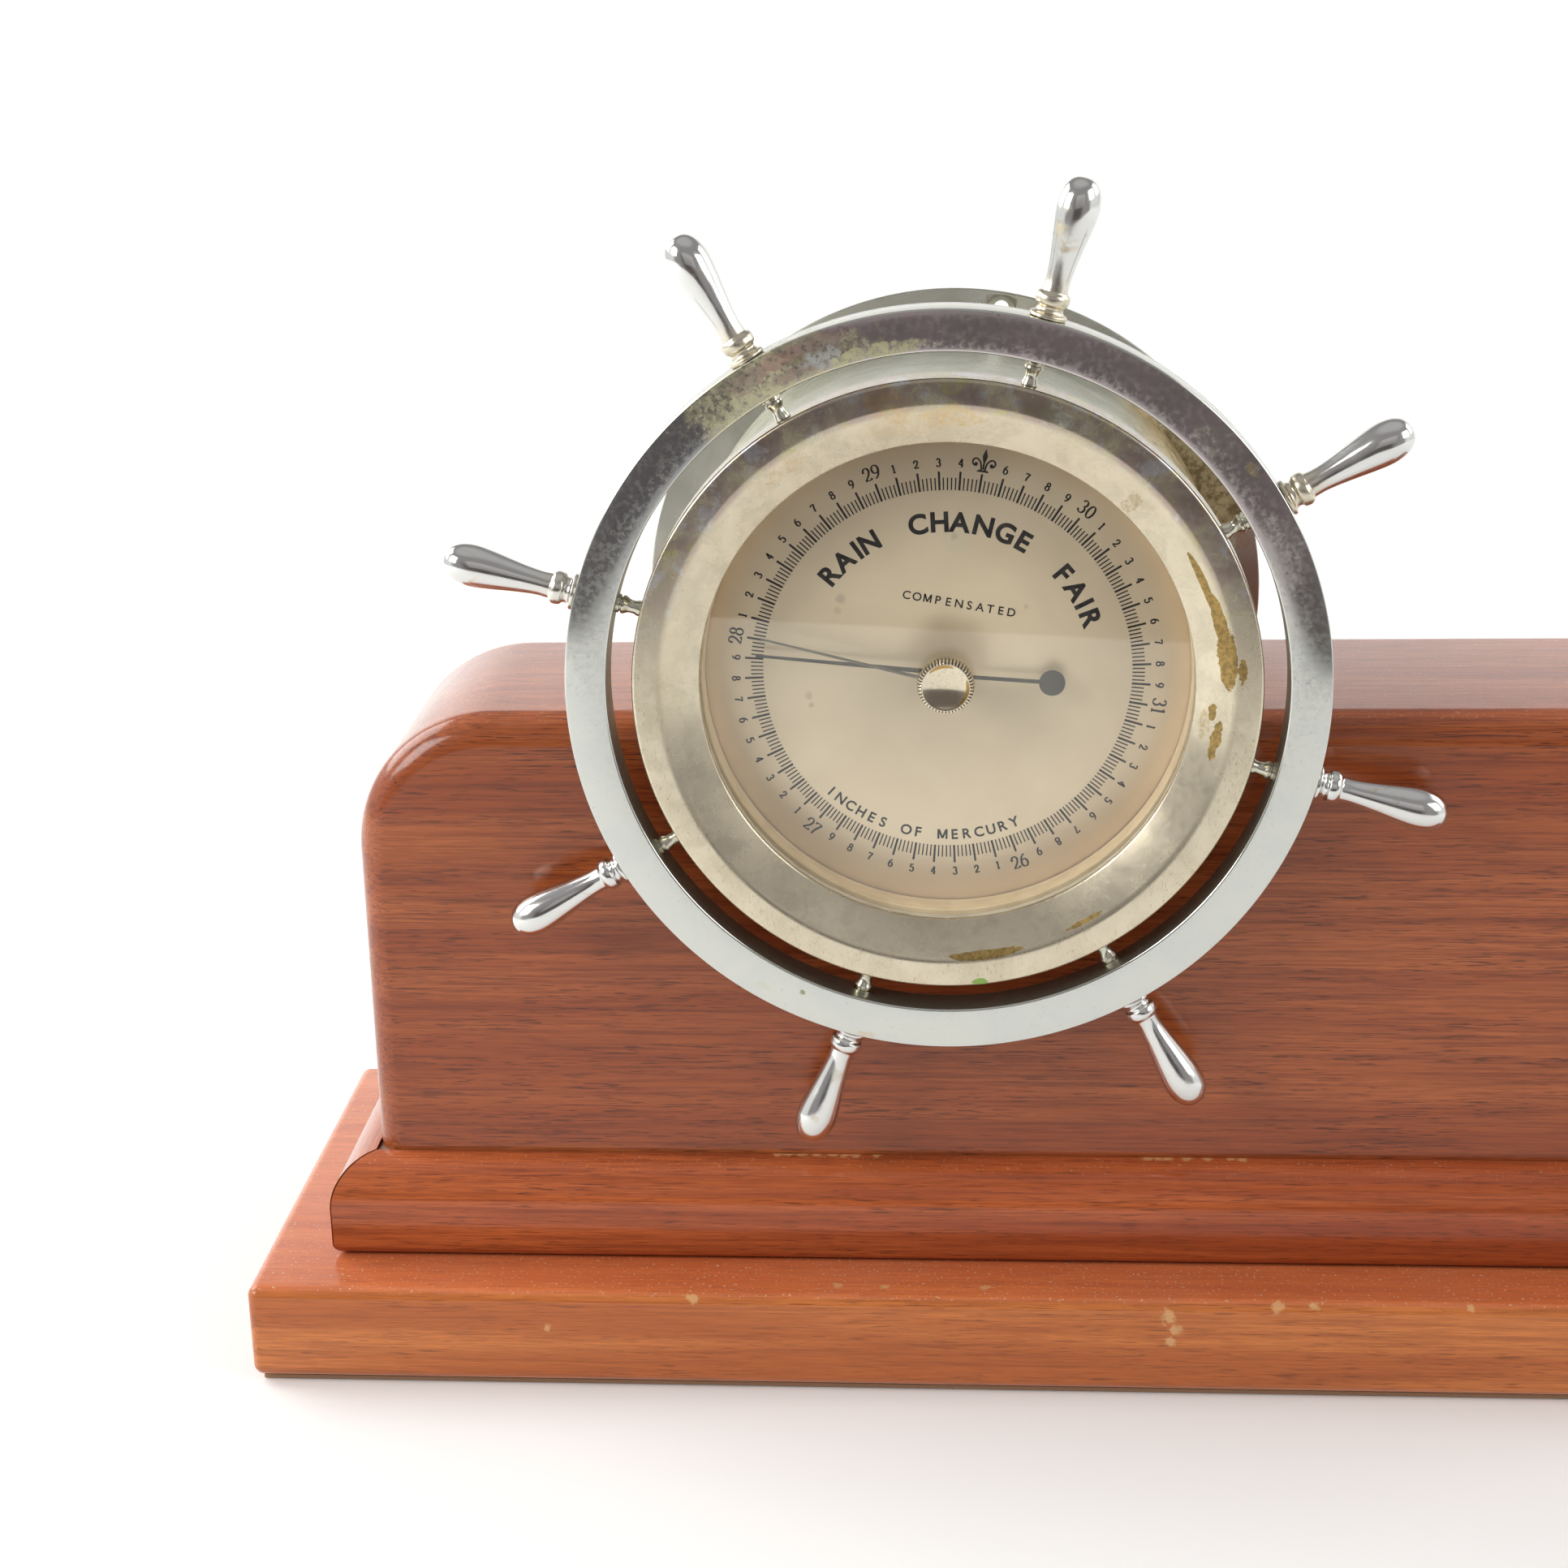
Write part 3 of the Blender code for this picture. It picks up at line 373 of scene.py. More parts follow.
def wood(name, grain="X", top_light_and_dust=0.0, tint=(1.0, 1.0, 1.0), seed=0.0, contrast=1.0, marks=()):
    """Lacquered red-brown hardwood: ribbon figure, fibres and short dark pores along the grain.

    marks are small pale knocks and smears of glue: (x, depth, z, reach).
    """
    made = Shader(name, Roughness=0.45, Specular_IOR_Level=0.12, Coat_Weight=1.0, Coat_Roughness=0.15,
                  Coat_IOR=1.43)

    def along(lengthwise, upright, across):
        return (lengthwise, across, upright) if grain == "X" else (across, lengthwise, upright)

    offset = (seed, seed * 0.7, seed * 1.3)
    figure = made.noise(along(3.5, 90.0, 60.0), 3.0, 0.5, 0.6, offset)
    ribbon = made.noise(along(9.0, 420.0, 300.0), 4.0, 0.62, 0.3, offset)
    streak = made.noise(along(30.0, 1500.0, 1000.0), 3.0, 0.6, 0.0, offset)
    fibre = made.noise(along(100.0, 3000.0, 2200.0), 3.0, 0.6, 0.0, offset)
    pore_field = made.noise(along(130.0, 2900.0, 2300.0), 2.0, 0.5, 0.0, offset)
    pore_area = made.noise(along(20.0, 200.0, 140.0), 2.0, 0.5, 0.0, offset)
    pores = pore_field.between(0.57, 0.66) * pore_area.between(0.36, 0.60, 0.3, 1.0)
    dark, middle, light = (tuple(c * t for c, t in zip(shade, tint)) for shade in
                           ((0.165, 0.032, 0.010), (0.325, 0.071, 0.016), (0.44, 0.118, 0.032)))
    pore_colour = (0.06, 0.014, 0.006)
    made.colour = made.mix(figure.between(0.36, 0.64), middle, light)
    made.lay(ribbon.between(0.46, 0.70, 0.0, 0.62 * contrast), dark)
    made.lay(streak.between(0.48, 0.66, 0.0, 0.58 * contrast), dark)
    made.lay(fibre.between(0.34, 0.70, 0.0, 0.38), dark)
    made.lay(pores * (0.72 * contrast), pore_colour)
    facing = dict(zip("XYZ", split(made.add("ShaderNodeTexCoord", "Normal"))))
    layers = made.noise(along(2.0, 520.0, 26.0), 4.0, 0.6, 0.4, offset)
    end_grain = made.mix(layers.between(0.36, 0.64), middle, dark)
    end_pores = made.noise(2600.0, 2.0, 0.5).between(0.56, 0.66, 0.0, 0.6)
    end_grain = made.mix(end_pores, end_grain, pore_colour)
    endwise = facing[grain].math("ABSOLUTE").between(0.80, 0.98, 0.0, 0.62)
    made.lay(endwise, end_grain)
    if top_light_and_dust:
        upward = facing["Z"].between(0.6, 0.95)
        # Faces turned up are painted brighter and redder, a painted top light; dust specks and a thin dust
        # film are laid over them as well.
        made.lay(upward * (0.30 * top_light_and_dust), (0.86, 0.20, 0.095))
        specks = made.noise(1100.0, 2.0, 0.5).between(0.64, 0.69)
        film = made.noise(30.0, 4.0, 0.6).between(0.3, 0.8, 0.0, 0.06)
        made.lay(upward * (specks * 0.7 + film) * top_light_and_dust, (0.64, 0.49, 0.34))
    for x, depth, z, reach in marks:
        knock = made.patch(x, depth, z, reach, 0.9, 0.8, 600.0)
        made.lay(knock * 0.7, (0.68, 0.40, 0.18))
    made.set(Base_Color=made.colour)
    made.bump(fibre * 0.3 - pores, 0.08 * MM, 0.35)
    lacquer = made.noise(45.0, 2.0, 0.5) + ribbon * 0.2
    made.bump(lacquer, 0.30 * MM, 0.25, "Coat Normal")
    return made.material


def chrome():
    """The ring's polished plating: bloomed and mottled above, clean below, its bore left dull."""
    made = Shader("rim_chrome", Metallic=1.0)
    right, up, out = made.polar()
    face = (out.between(RIM_INNER + 0.2 * MM, RIM_INNER + 0.5 * MM)
            * out.between(RIM_OUTER - 0.3 * MM, RIM_OUTER - 0.6 * MM))
    upper = face * up.between(5 * MM, 45 * MM)
    cloud = made.noise(70.0, 5.0, 0.65, 0.5)
    speckle = made.noise(620.0, 5.0, 0.7).between(0.34, 0.54, 0.25, 1.0)
    grit = made.noise(750.0, 5.0, 0.7)
    pits = made.noise(1500.0, 2.0, 0.5).between(0.66, 0.74)
    made.colour = made.mix(cloud.between(0.40, 0.66), (0.625, 0.63, 0.585), (0.595, 0.61, 0.575))
    bloom = made.mix(cloud.between(0.36, 0.64), (0.60, 0.50, 0.52), (0.50, 0.46, 0.44))
    bloom = made.mix(right.between(-22 * MM, -52 * MM, 0.0, 0.92), bloom, (0.35, 0.36, 0.355))
    made.lay(upper * 0.9, bloom)
    rough = grit.between(0.35, 0.7, 0.09, 0.14)
    film = upper * grit.between(0.46, 0.60)
    made.lay(film * 0.16, (0.76, 0.73, 0.69))
    rough += film * 0.06
    made.lay(pits * upper.between(0.0, 1.0, 0.22, 0.5), (0.20, 0.17, 0.15))
    for angle, radius, half_angle, half_width, stain, amount, frequency in (
            (-33, 86, 9, 8, (0.66, 0.63, 0.42), 0.95, 150), (-22, 85, 11, 6, (0.64, 0.60, 0.40), 0.9, 170),
            (-31, 87, 4, 2.5, (0.34, 0.25, 0.22), 0.75, 330), (-25, 87.5, 4, 2, (0.38, 0.24, 0.2), 0.8, 300),
            (-24, 83.5, 4, 1.6, (0.36, 0.25, 0.22), 0.7, 380),
            (-18, 88, 5, 1.8, (0.36, 0.25, 0.23), 0.7, 330), (-19, 84, 3, 2.4, (0.5, 0.54, 0.58), 0.6, 260),
            (-10, 82.6, 8, 1.6, (0.62, 0.59, 0.37), 0.95, 240),
            (46, 86, 3, 4, (0.50, 0.46, 0.38), 0.6, 300), (53, 88, 1.3, 1.2, (0.58, 0.48, 0.28), 0.9, 400),
            (66, 85, 6, 4, (0.62, 0.60, 0.54), 0.5, 260), (205, 84, 0.5, 0.6, (0.30, 0.30, 0.16), 0.9, 600),
            (211, 87, 1.2, 0.8, (0.58, 0.58, 0.45), 0.5, 600),
            (193, 89.5, 1.5, 0.7, (0.6, 0.5, 0.35), 0.6, 500)):
        cover = made.band(angle, radius, half_angle, half_width, 0.3, 0.55, frequency) * (speckle * amount)
        made.lay(cover, stain)
        rough += cover * 0.16
    rear = out.between(RIM_OUTER - 0.10 * MM, RIM_OUTER - 0.03 * MM)
    made.lay(rear, (0.50, 0.50, 0.44))
    bore = out.between(RIM_INNER + 0.10 * MM, RIM_INNER + 0.02 * MM)
    bore *= made.noise(400.0, 4.0, 0.6).between(0.2, 0.6, 0.75, 1.0)
    made.lay(bore, (0.36, 0.35, 0.29))
    rough += bore * 0.36
    made.set(Base_Color=made.colour, Roughness=rough, Metallic=upper.between(0.0, 1.0, 0.98, 0.88))
    made.bump(grit * 0.3 - pits, 0.004 * MM, 0.3)
    return made.material


def knob_chrome():
    """Bright plating gone warm, rubbed through to brass along two crescents of the face."""
    made = Shader("knob_chrome", Metallic=0.92)
    grit = made.noise(1500.0, 5.0, 0.7)
    made.colour = made.mix(grit.between(0.54, 0.66, 0.0, 0.5), (0.72, 0.645, 0.49), (0.40, 0.34, 0.26))
    made.lay(grit.between(0.44, 0.34, 0.0, 0.5), (0.86, 0.82, 0.72))
    worn = made.band(-12, 5.2, 34, 0.45, 0.2, 0.12, 500.0)
    worn = worn.math("MAXIMUM", made.band(108, 5.25, 40, 0.45, 0.2, 0.12, 500.0))
    made.lay(worn, (0.45, 0.29, 0.11))
    right, up, out = made.polar()
    # A ring of near-black dashes on the face, one for each knurl groove, is painted shade in the grooves.
    teeth = (up.math("ARCTAN2", right) * KNURL_TEETH).math("COSINE")
    painted_groove_shade = teeth.between(-0.3, 0.7) * out.between(5.72 * MM, 5.82 * MM)
    made.lay(painted_groove_shade * 0.9, (0.07, 0.055, 0.04))
    rough = worn.between(0.0, 1.0, 0.09, 0.25) + grit.between(0.5, 0.7, 0.0, 0.12)
    made.set(Base_Color=made.colour, Roughness=rough)
    return made.material


def handle_chrome():
    """Brighter plating, worn to tan in streaks and round the feet of the upper handles."""
    made = Shader("handle_chrome", Metallic=1.0)
    worn = made.noise(110.0, 5.0, 0.65, 0.6).between(0.58, 0.72)
    _, up, out = made.polar()
    foot = out.between(RIM_OUTER + 14 * MM, RIM_OUTER + 3 * MM) * up.between(10 * MM, 45 * MM, 0.0, 0.75)
    worn = worn.math("MAXIMUM", foot)
    made.set(Base_Color=made.mix(worn, (0.72, 0.72, 0.70), (0.62, 0.54, 0.38)),
             Roughness=made.noise(260.0, 4.0, 0.6).between(0.3, 0.8, 0.11, 0.20) + worn * 0.2)
    return made.material


def worn_bezel():
    """Dull plating over brass: mottled above, flecked below, and rubbed through in places."""
    made = Shader("worn_bezel")
    _, up, out = made.polar()
    flat = out.between(66.5 * MM, 68.0 * MM)
    upper = flat * up.between(0.0, 40 * MM)
    cloud = made.noise(85.0, 5.0, 0.65, 0.5)
    blotch = made.noise(150.0, 6.0, 0.7, 0.4, (0.4, 0.1, 0.7))
    grain = made.noise(900.0, 5.0, 0.7)
    fleck = made.noise((2400.0, 2400.0, 800.0), 3.0, 0.6).between(0.60, 0.70)
    made.colour = made.mix(cloud.between(0.35, 0.68), (0.700, 0.628, 0.480), (0.630, 0.560, 0.415))
    tarnish = made.mix(cloud.between(0.40, 0.60), (0.42, 0.33, 0.30), (0.52, 0.47, 0.33))
    tarnish = made.mix(blotch.between(0.52, 0.62), tarnish, (0.54, 0.54, 0.56))
    tarnish = made.mix(blotch.between(0.44, 0.36), tarnish, (0.48, 0.44, 0.22))
    made.lay(upper * 0.85, tarnish)
    made.lay(fleck * flat.between(0.0, 1.0, 0.10, 0.50), (0.30, 0.235, 0.16))
    made.lay(grain.between(0.56, 0.72, 0.0, 0.16), (0.33, 0.28, 0.21))
    satin = blotch.between(0.44, 0.62, 0.0, 0.45) * flat.between(1.0, 0.0)
    made.lay(satin, (0.50, 0.45, 0.34))
    rough = cloud.between(0.3, 0.7, 0.20, 0.29) + grain.between(0.4, 0.7, 0.0, 0.03)
    for angle, radius, half_angle, half_width, stain, amount, frequency in (
            (2, 65.5, 6, 2.6, (0.66, 0.46, 0.20), 0.6, 420), (-8, 64, 8, 3.0, (0.66, 0.50, 0.27), 0.4, 520),
            (-34, 65, 5, 2.0, (0.55, 0.38, 0.20), 0.45, 500),
            (-10, 70, 4, 4.0, (0.60, 0.42, 0.20), 0.55, 180),
            (23, 70.3, 3, 1.6, (0.70, 0.76, 0.62), 0.9, 330), (19, 70, 3, 2.0, (0.42, 0.40, 0.22), 0.7, 300),
            (44, 62, 1.5, 2.6, (0.40, 0.30, 0.16), 0.7, 700),
            (98, 61.5, 3, 1.2, (0.42, 0.30, 0.13), 0.7, 600),
            (-85, 66, 14, 3.5, (0.66, 0.58, 0.40), 0.5, 220)):
        cover = (made.band(angle, radius, half_angle, half_width, 0.3, 0.55, frequency)
                 * grain.between(0.42, 0.60, 0.25 * amount, amount))
        made.lay(cover, stain)
    for angle, radius, half_angle, half_width, ragged in (
            (66.5, 65.3, 7, 0.9, 0.10), (75.5, 66.0, 6, 1.5, 0.14), (83, 66.4, 7, 2.2, 0.26),
            (86, 69.6, 2.6, 1.0, 0.6), (95, 63.0, 2.2, 0.8, 0.6), (101, 64.6, 4.0, 1.1, 0.5),
            (172, 67.0, 7.5, 1.1, 0.22), (150, 66.5, 4, 0.5, 0.5)):
        cover = made.band(angle, radius, half_angle, half_width, 0.08, ragged, 480.0)
        made.lay(cover, made.mix(grain.between(0.4, 0.6), (0.25, 0.18, 0.07), (0.42, 0.28, 0.10)))
        rough += cover * 0.15
    verdigris = made.band(173.8, 73.6, 1.5, 0.9, 0.1, 0.35, 500.0)
    made.lay(verdigris, (0.26, 0.42, 0.10))
    rough += verdigris * 0.4
    made.set(Base_Color=made.colour, Roughness=rough, Metallic=verdigris.between(0.0, 1.0, 0.93, 0.2))
    made.bump(grain * 0.5 - fleck, 0.005 * MM, 0.3)
    return made.material


def dull_nickel():
    """The drum's and flange's plating: greenish grey, corroded brown towards the right."""
    made = Shader("dull_nickel", Metallic=1.0)
    turned = made.noise((40.0, 1500.0, 40.0), 3.0, 0.6)
    mottle = made.noise(70.0, 5.0, 0.6, 0.4)
    made.colour = made.mix(mottle.between(0.35, 0.7), (0.60, 0.60, 0.52), (0.48, 0.48, 0.39))
    rough = turned.between(0.3, 0.7, 0.24, 0.36)
    fringe = made.band(58, 74.5, 19, 7.5, 0.15, 0.35, 230.0)
    crumbs = made.noise(420.0, 5.0, 0.7).between(0.38, 0.62)
    crust = made.mix(crumbs, (0.20, 0.155, 0.075), (0.46, 0.38, 0.22))
    cover = made.band(62, 75.5, 19, 6.8, 0.12, 0.35, 230.0)
    back = AXIS.y + depth_of("case_flange")[1]
    front_only = split(made.place)[1].between(back - 0.2 * MM, back - 0.6 * MM)
    cover *= front_only
    fringe *= front_only
    made.lay(fringe * 0.9, (0.78, 0.66, 0.44))
    made.lay(cover, crust)
    made.lay(made.band(92, 79, 16, 6, 0.4, 0.15, 160.0) * 0.85, (0.36, 0.25, 0.20))
    rough += cover * 0.18
    made.set(Base_Color=made.colour, Roughness=rough)
    made.bump(turned + mottle, 0.03 * MM, 0.3)
    return made.material


def dial_silvering():
    """Silvered brass gone champagne, grained faintly in rings, with a few faint stains."""
    made = Shader("dial_silvering", Metallic=0.55)
    radius = made.add("ShaderNodeVectorMath", "Value", {0: made.from_axis()}, operation="LENGTH")
    inputs = {"W": radius * 5200.0, "Scale": 1.0, "Detail": 3.0}
    rings = made.add("ShaderNodeTexNoise", "Fac", inputs, noise_dimensions="1D")
    cloud = made.noise(38.0, 4.0, 0.55, 0.3)
    made.colour = made.mix(cloud.between(0.3, 0.7), (0.85, 0.705, 0.515), (0.78, 0.635, 0.455))
    _, up, out = made.polar()
    # The lower outer band of the dial is painted darker and browner: painted shade.
    lower_edge_shade = out.between(43 * MM, 50 * MM) * up.between(-15 * MM, -42 * MM)
    made.lay(lower_edge_shade * 0.5, (0.56, 0.43, 0.30))
    for x, z, reach, strength in ((-25.3, 18.0, 1.2, 0.32), (-26.2, 15.2, 0.8, 0.2), (-33.6, -6.0, 0.9, 0.3),
                                  (-33.0, -8.5, 0.6, 0.35), (2.0, 33.4, 0.8, 0.4), (19.0, 16.0, 0.6, 0.25)):
        spot = made.patch(x, 20.0, z, reach, 0.9, 0.5, 500.0)
        made.lay(spot * strength, (0.28, 0.23, 0.16))
    halo = made.patch(2.6, 20.0, 32.6, 3.4, 0.2, 0.1, 200.0)
    made.lay(halo * 0.35, (0.74, 0.68, 0.52))
    made.set(Base_Color=made.colour, Roughness=rings.between(0.3, 0.7, 0.36, 0.44))
    made.bump(rings, 0.008 * MM, 0.35)
    return made.material


def ink():
    """Black printing, slightly uneven."""
    made = Shader("scale_ink", Roughness=0.5, Specular_IOR_Level=0.3)
    patchy = made.noise(420.0, 4.0, 0.6)
    made.set(Base_Color=made.mix(patchy.between(0.35, 0.75), (0.012, 0.011, 0.012), (0.045, 0.038, 0.033)))
    return made.material


def metal(name, colour, shade, roughness, lines=(300.0, 300.0, 300.0)):
    """Plain machined metal with faint tool lines and a little stain."""
    made = Shader(name, Metallic=1.0)
    tool = made.noise(lines, 3.0, 0.6)
    stain = made.noise(90.0, 4.0, 0.6).between(0.45, 0.75)
    made.set(Base_Color=made.mix(stain, colour, shade),
             Roughness=tool.between(0.3, 0.7, roughness - 0.07, roughness + 0.08))
    made.bump(tool, 0.02 * MM, 0.3)
    return made.material


def painted(name, colour, shade, roughness):
    """Matte or enamelled surface with a slightly aged tone."""
    made = Shader(name, Roughness=roughness)
    age = made.noise(130.0, 5.0, 0.6)
    made.set(Base_Color=made.mix(age.between(0.35, 0.75), colour, shade))
    made.bump(made.noise(900.0, 3.0, 0.6), 0.02 * MM, 0.3)
    return made.material


def felt():
    """Short brown nap."""
    made = Shader("brown_felt", Roughness=0.95, Sheen_Weight=0.4, Sheen_Roughness=0.5)
    nap = made.noise(2500.0, 3.0, 0.7)
    made.set(Base_Color=made.mix(nap, (0.24, 0.13, 0.07), (0.38, 0.22, 0.12)))
    made.bump(nap, 0.2 * MM, 0.6)
    return made.material


def pane():
    """Clear glass that lets the lamps' light through to the dial."""
    made = Shader("clear_pane", Base_Color=(0.97, 0.985, 0.97), Transmission_Weight=1.0, IOR=1.5)
    made.set(Roughness=made.noise(60.0, 4.0, 0.6).between(0.45, 0.8, 0.0, 0.03))
    clear = made.add("ShaderNodeBsdfTransparent", "BSDF", {"Color": (0.96, 0.97, 0.96)})
    shadow = made.add("ShaderNodeLightPath", "Is Shadow Ray")
    surface = Value(made.tree, made.surface.outputs["BSDF"])
    both = made.add("ShaderNodeMixShader", "Shader", {0: shadow, 1: surface, 2: clear})
    feed(made.tree.nodes["Material Output"].inputs["Surface"], both)
    return made.material


MOULDING_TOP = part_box("moulding_front")[1] - AXIS
PLINTH_CORNER = Vector((0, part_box("plinth_board")[0].y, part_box("plinth_board")[1].z)) - AXIS
GLUE = [(x, MOULDING_TOP.y / MM, MOULDING_TOP.z / MM - 0.3, 1.3) for x in
        (-44, -41.5, -38, -34, -30, -27, -24.5, -19, 50, 52.5, 55, 60, 65, 71, 74)]
KNOCKS = [(x, PLINTH_CORNER.y / MM + depth, PLINTH_CORNER.z / MM - drop, reach) for x, depth, drop, reach in
          ((-64, 0.8, 1.2, 1.3), (81, 0.8, 1.0, 1.5), (90, 0.8, 0.9, 1.1), (128, 0.8, 0.8, 0.9),
           (-101, 0.0, 9.5, 0.9), (54, 0.0, 4.0, 1.7), (56, 0.0, 7.5, 1.5), (55, 0.0, 11.0, 1.2),
           (-28, 6.5, 0.0, 1.1), (-16, 6.0, 0.0, 1.0), (9, 6.5, 0.0, 1.2))]
BLOCK_WOOD = wood("block_wood", top_light_and_dust=0.35)
PLINTH_WOOD = wood("plinth_wood", top_light_and_dust=1.0, tint=(1.50, 1.78, 1.52), seed=3.0, contrast=0.62, marks=KNOCKS)
MOULDING_WOOD = wood("moulding_wood", tint=(1.14, 1.02, 0.96), top_light_and_dust=0.3, seed=7.0, contrast=0.8, marks=GLUE)
MOULDING_END_WOOD = wood("moulding_end_wood", "Y", tint=(1.14, 1.02, 0.96), top_light_and_dust=0.3, seed=9.0, contrast=0.8)
OLD_GLUE = painted("old_glue", (0.34, 0.20, 0.13), (0.16, 0.09, 0.06), 0.6)
RIM_CHROME = chrome()
KNOB_CHROME = knob_chrome()
HANDLE_CHROME = handle_chrome()
BEZEL_METAL = worn_bezel()
PIN_METAL = metal("pin_nickel", (0.62, 0.60, 0.50), (0.42, 0.38, 0.26), 0.24)
CASE_METAL = dull_nickel()
DIAL_METAL = dial_silvering()
INK = ink()
POINTER_METAL = painted("japanned_hand", (0.098, 0.086, 0.072), (0.078, 0.070, 0.060), 0.45)
MARKER_METAL = metal("aged_steel", (0.27, 0.24, 0.20), (0.20, 0.17, 0.14), 0.4)
STEEL = metal("ground_steel", (0.36, 0.37, 0.39), (0.28, 0.26, 0.24), 0.30, (2200.0, 300.0, 300.0))
BRASS = metal("machined_brass", (0.74, 0.55, 0.23), (0.55, 0.37, 0.13), 0.28, (900.0, 900.0, 2500.0))
CREAM = painted("tan_enamel", (0.74, 0.58, 0.385), (0.63, 0.48, 0.30), 0.5)
PACKING = painted("packing_ring", (0.62, 0.55, 0.42), (0.45, 0.38, 0.27), 0.8)
FELT = felt()
GLASS = pane()


# --- stand ---------------------------------------------------------------------------------------

def make_block():
    """The notched block: slices of one outline, drawn in towards the front and the back."""
    low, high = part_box("block")
    corner = 35.5 * MM
    half, middle = radius_of("block"), (high.x + low.x) / 2
    slices = []
    for step in range(13):
        angle = math.radians(90 * step / 12)
        slices.append((BLOCK_EDGE * (1 - math.sin(angle)), low.y + BLOCK_EDGE * (1 - math.cos(angle))))
    slices += [(inset, low.y + high.y - y) for inset, y in reversed(slices)]
    bm = bmesh.new()
    rings = []
    for inset, y in slices:
        side, top, radius = half - inset, high.z - inset, corner - inset
        outline = [(-side, low.z)] + arc((-side + radius, top - radius), (radius, radius), 180, 90, 24)
        outline += arc((side - radius, top - radius), (radius, radius), 90, 0, 24) + [(side, low.z)]
        rings.append([bm.verts.new((middle + x, y, z)) for x, z in outline])
    bridge(bm, rings)
    bm.faces.new(rings[0])
    bm.faces.new(rings[-1])
    block = keep_mesh(bm, "notched_block")
    notch = 70.7 * MM
    front, back = low.y - AXIS.y - 5 * MM, high.y - AXIS.y + 5 * MM
    cut(block, lathe("notch_tool", [(0, front), (notch, front), (notch, back), (0, back)], 256, False))
    dress(block, BLOCK_WOOD, "stand", "mahogany", "block")


def make_plinth():
    low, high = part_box("plinth_board")
    bm = bmesh.new()
    bmesh.ops.create_cube(bm, size=1.0)
    bm.transform(Matrix.Translation((low + high) / 2) @ Matrix.Diagonal((*(high - low), 1.0)))
    bmesh.ops.bevel(bm, geom=bm.edges[:], offset=3 * MM, offset_type="OFFSET", segments=8, profile=0.5,
                    affect="EDGES")
    board = keep_mesh(bm, "base_board")
    for name in ("plinth_screw_left", "plinth_screw_right"):
        centre = middle_of(name)
        sink = radius_of(name) + 1.2 * MM
        drill(board, Matrix.Translation((centre.x, centre.y, 0)), low.z, high.z, 2.3 * MM, sink, 32)
    dress(board, PLINTH_WOOD, "stand", "mahogany", "plinth_board")


def moulding_profile(height, projection):
    """(projection, height) points: a quarter round over an upright face with an eased foot."""
    foot, drop = 3 * MM, 1.15 * projection
    points = [(0, 0)] + arc((projection - foot, foot), (foot, foot), -90, 0, 6)
    return points + arc((0, height - drop), (projection, drop), 0, 90, 20)


def make_mouldings():
    """Four quarter rounds with mitred ends, a hair's breadth apart."""
    block_low, block_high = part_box("block")
    front_low, front_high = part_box("moulding_front")
    projection, height = front_high.y - front_low.y, front_high.z - front_low.z
    length, thickness = block_high.x - block_low.x, block_high.y - block_low.y
    middle = middle_of("block")
    gap = block_low.y - front_high.y
    crack = 0.12 * MM
    for side, run, across, angle, material in (("front", length, thickness, 0.0, MOULDING_WOOD),
                                               ("right", thickness, length, math.pi / 2, MOULDING_END_WOOD),
                                               ("back", length, thickness, math.pi, MOULDING_WOOD),
                                               ("left", thickness, length, -math.pi / 2, MOULDING_END_WOOD)):
        bm = bmesh.new()
        ends = []
        for sign in (-1, 1):
            end = [bm.verts.new((sign * (run / 2 + out - crack), -across / 2 - gap - out, front_low.z + up))
                   for out, up in moulding_profile(height, projection)]
            ends.append(end)
            bm.faces.new(end)
        bridge(bm, ends)
        bm.transform(Matrix.Translation((middle.x, middle.y, 0)) @ Matrix.Rotation(angle, 4, "Z"))
        dress(keep_mesh(bm, f"quarter_round_{side}"), material, "stand", "mahogany", f"moulding_{side}")


def make_corner_glue():
    """Glue that fills the small gaps between the block's rounded edges and the mitres."""
    low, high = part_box("block")
    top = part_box("moulding_front")[1].z - 0.8 * MM
    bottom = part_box("moulding_front")[0].z + 0.5 * MM
    radius = BLOCK_EDGE - 0.1 * MM
    for number, (x, y, turn) in enumerate(((low.x, low.y, 180), (high.x, low.y, 270), (high.x, high.y, 0),
                                           (low.x, high.y, 90)), 1):
        inward = Vector((1 if x == low.x else -1, 1 if y == low.y else -1))
        centre = Vector((x, y)) + inward * BLOCK_EDGE
        outline = [(x, y)] + arc(centre, (radius, radius), turn, turn + 90, 10)
        bm = bmesh.new()
        face = bm.faces.new([bm.verts.new((px, py, bottom)) for px, py in outline])
        extrude(bm, [face], (0, 0, top - bottom))
        dress(keep_mesh(bm, f"corner_glue_{number}"), OLD_GLUE, "stand", "mahogany")


# --- wheel ---------------------------------------------------------------------------------------

def spoke_matrix(index):
    angle = FIRST_HANDLE_ANGLE + index * math.tau / HANDLE_COUNT
    return Matrix.Translation(AXIS + Vector((0, RIM_THICKNESS / 2, 0))) @ Matrix.Rotation(angle, 4, "Y")


def handle_profile():
    """Foot flange, waist, bead, neck, then a grip that swells and closes in a rounded tip."""
    foot = RIM_OUTER + 0.05 * MM
    turned = [(0, 0), (4.1, 0), (4.35, 0.25), (4.35, 0.8), (4.1, 1.05), (3.45, 1.35), (3.05, 2.1),
              (3.25, 2.8), (3.8, 3.3), (4.0, 4.1), (4.0, 4.9), (3.7, 5.6), (3.1, 6.1), (3.0, 6.7)]
    grip = [(3.0, 6.7), (2.95, 9.0), (3.3, 12.5), (3.9, 16.5), (4.55, 20.5), (5.0, 24.0), (5.0, 26.5),
            (4.5, 29.0), (3.4, 31.0), (1.9, 32.1), (0, 32.45)]
    points = turned[:2] + smooth_line(turned[1:], 3)[1:-1] + smooth_line(grip, 6)
    return [(max(radius, 0) * MM, foot + along * MM) for radius, along in points]


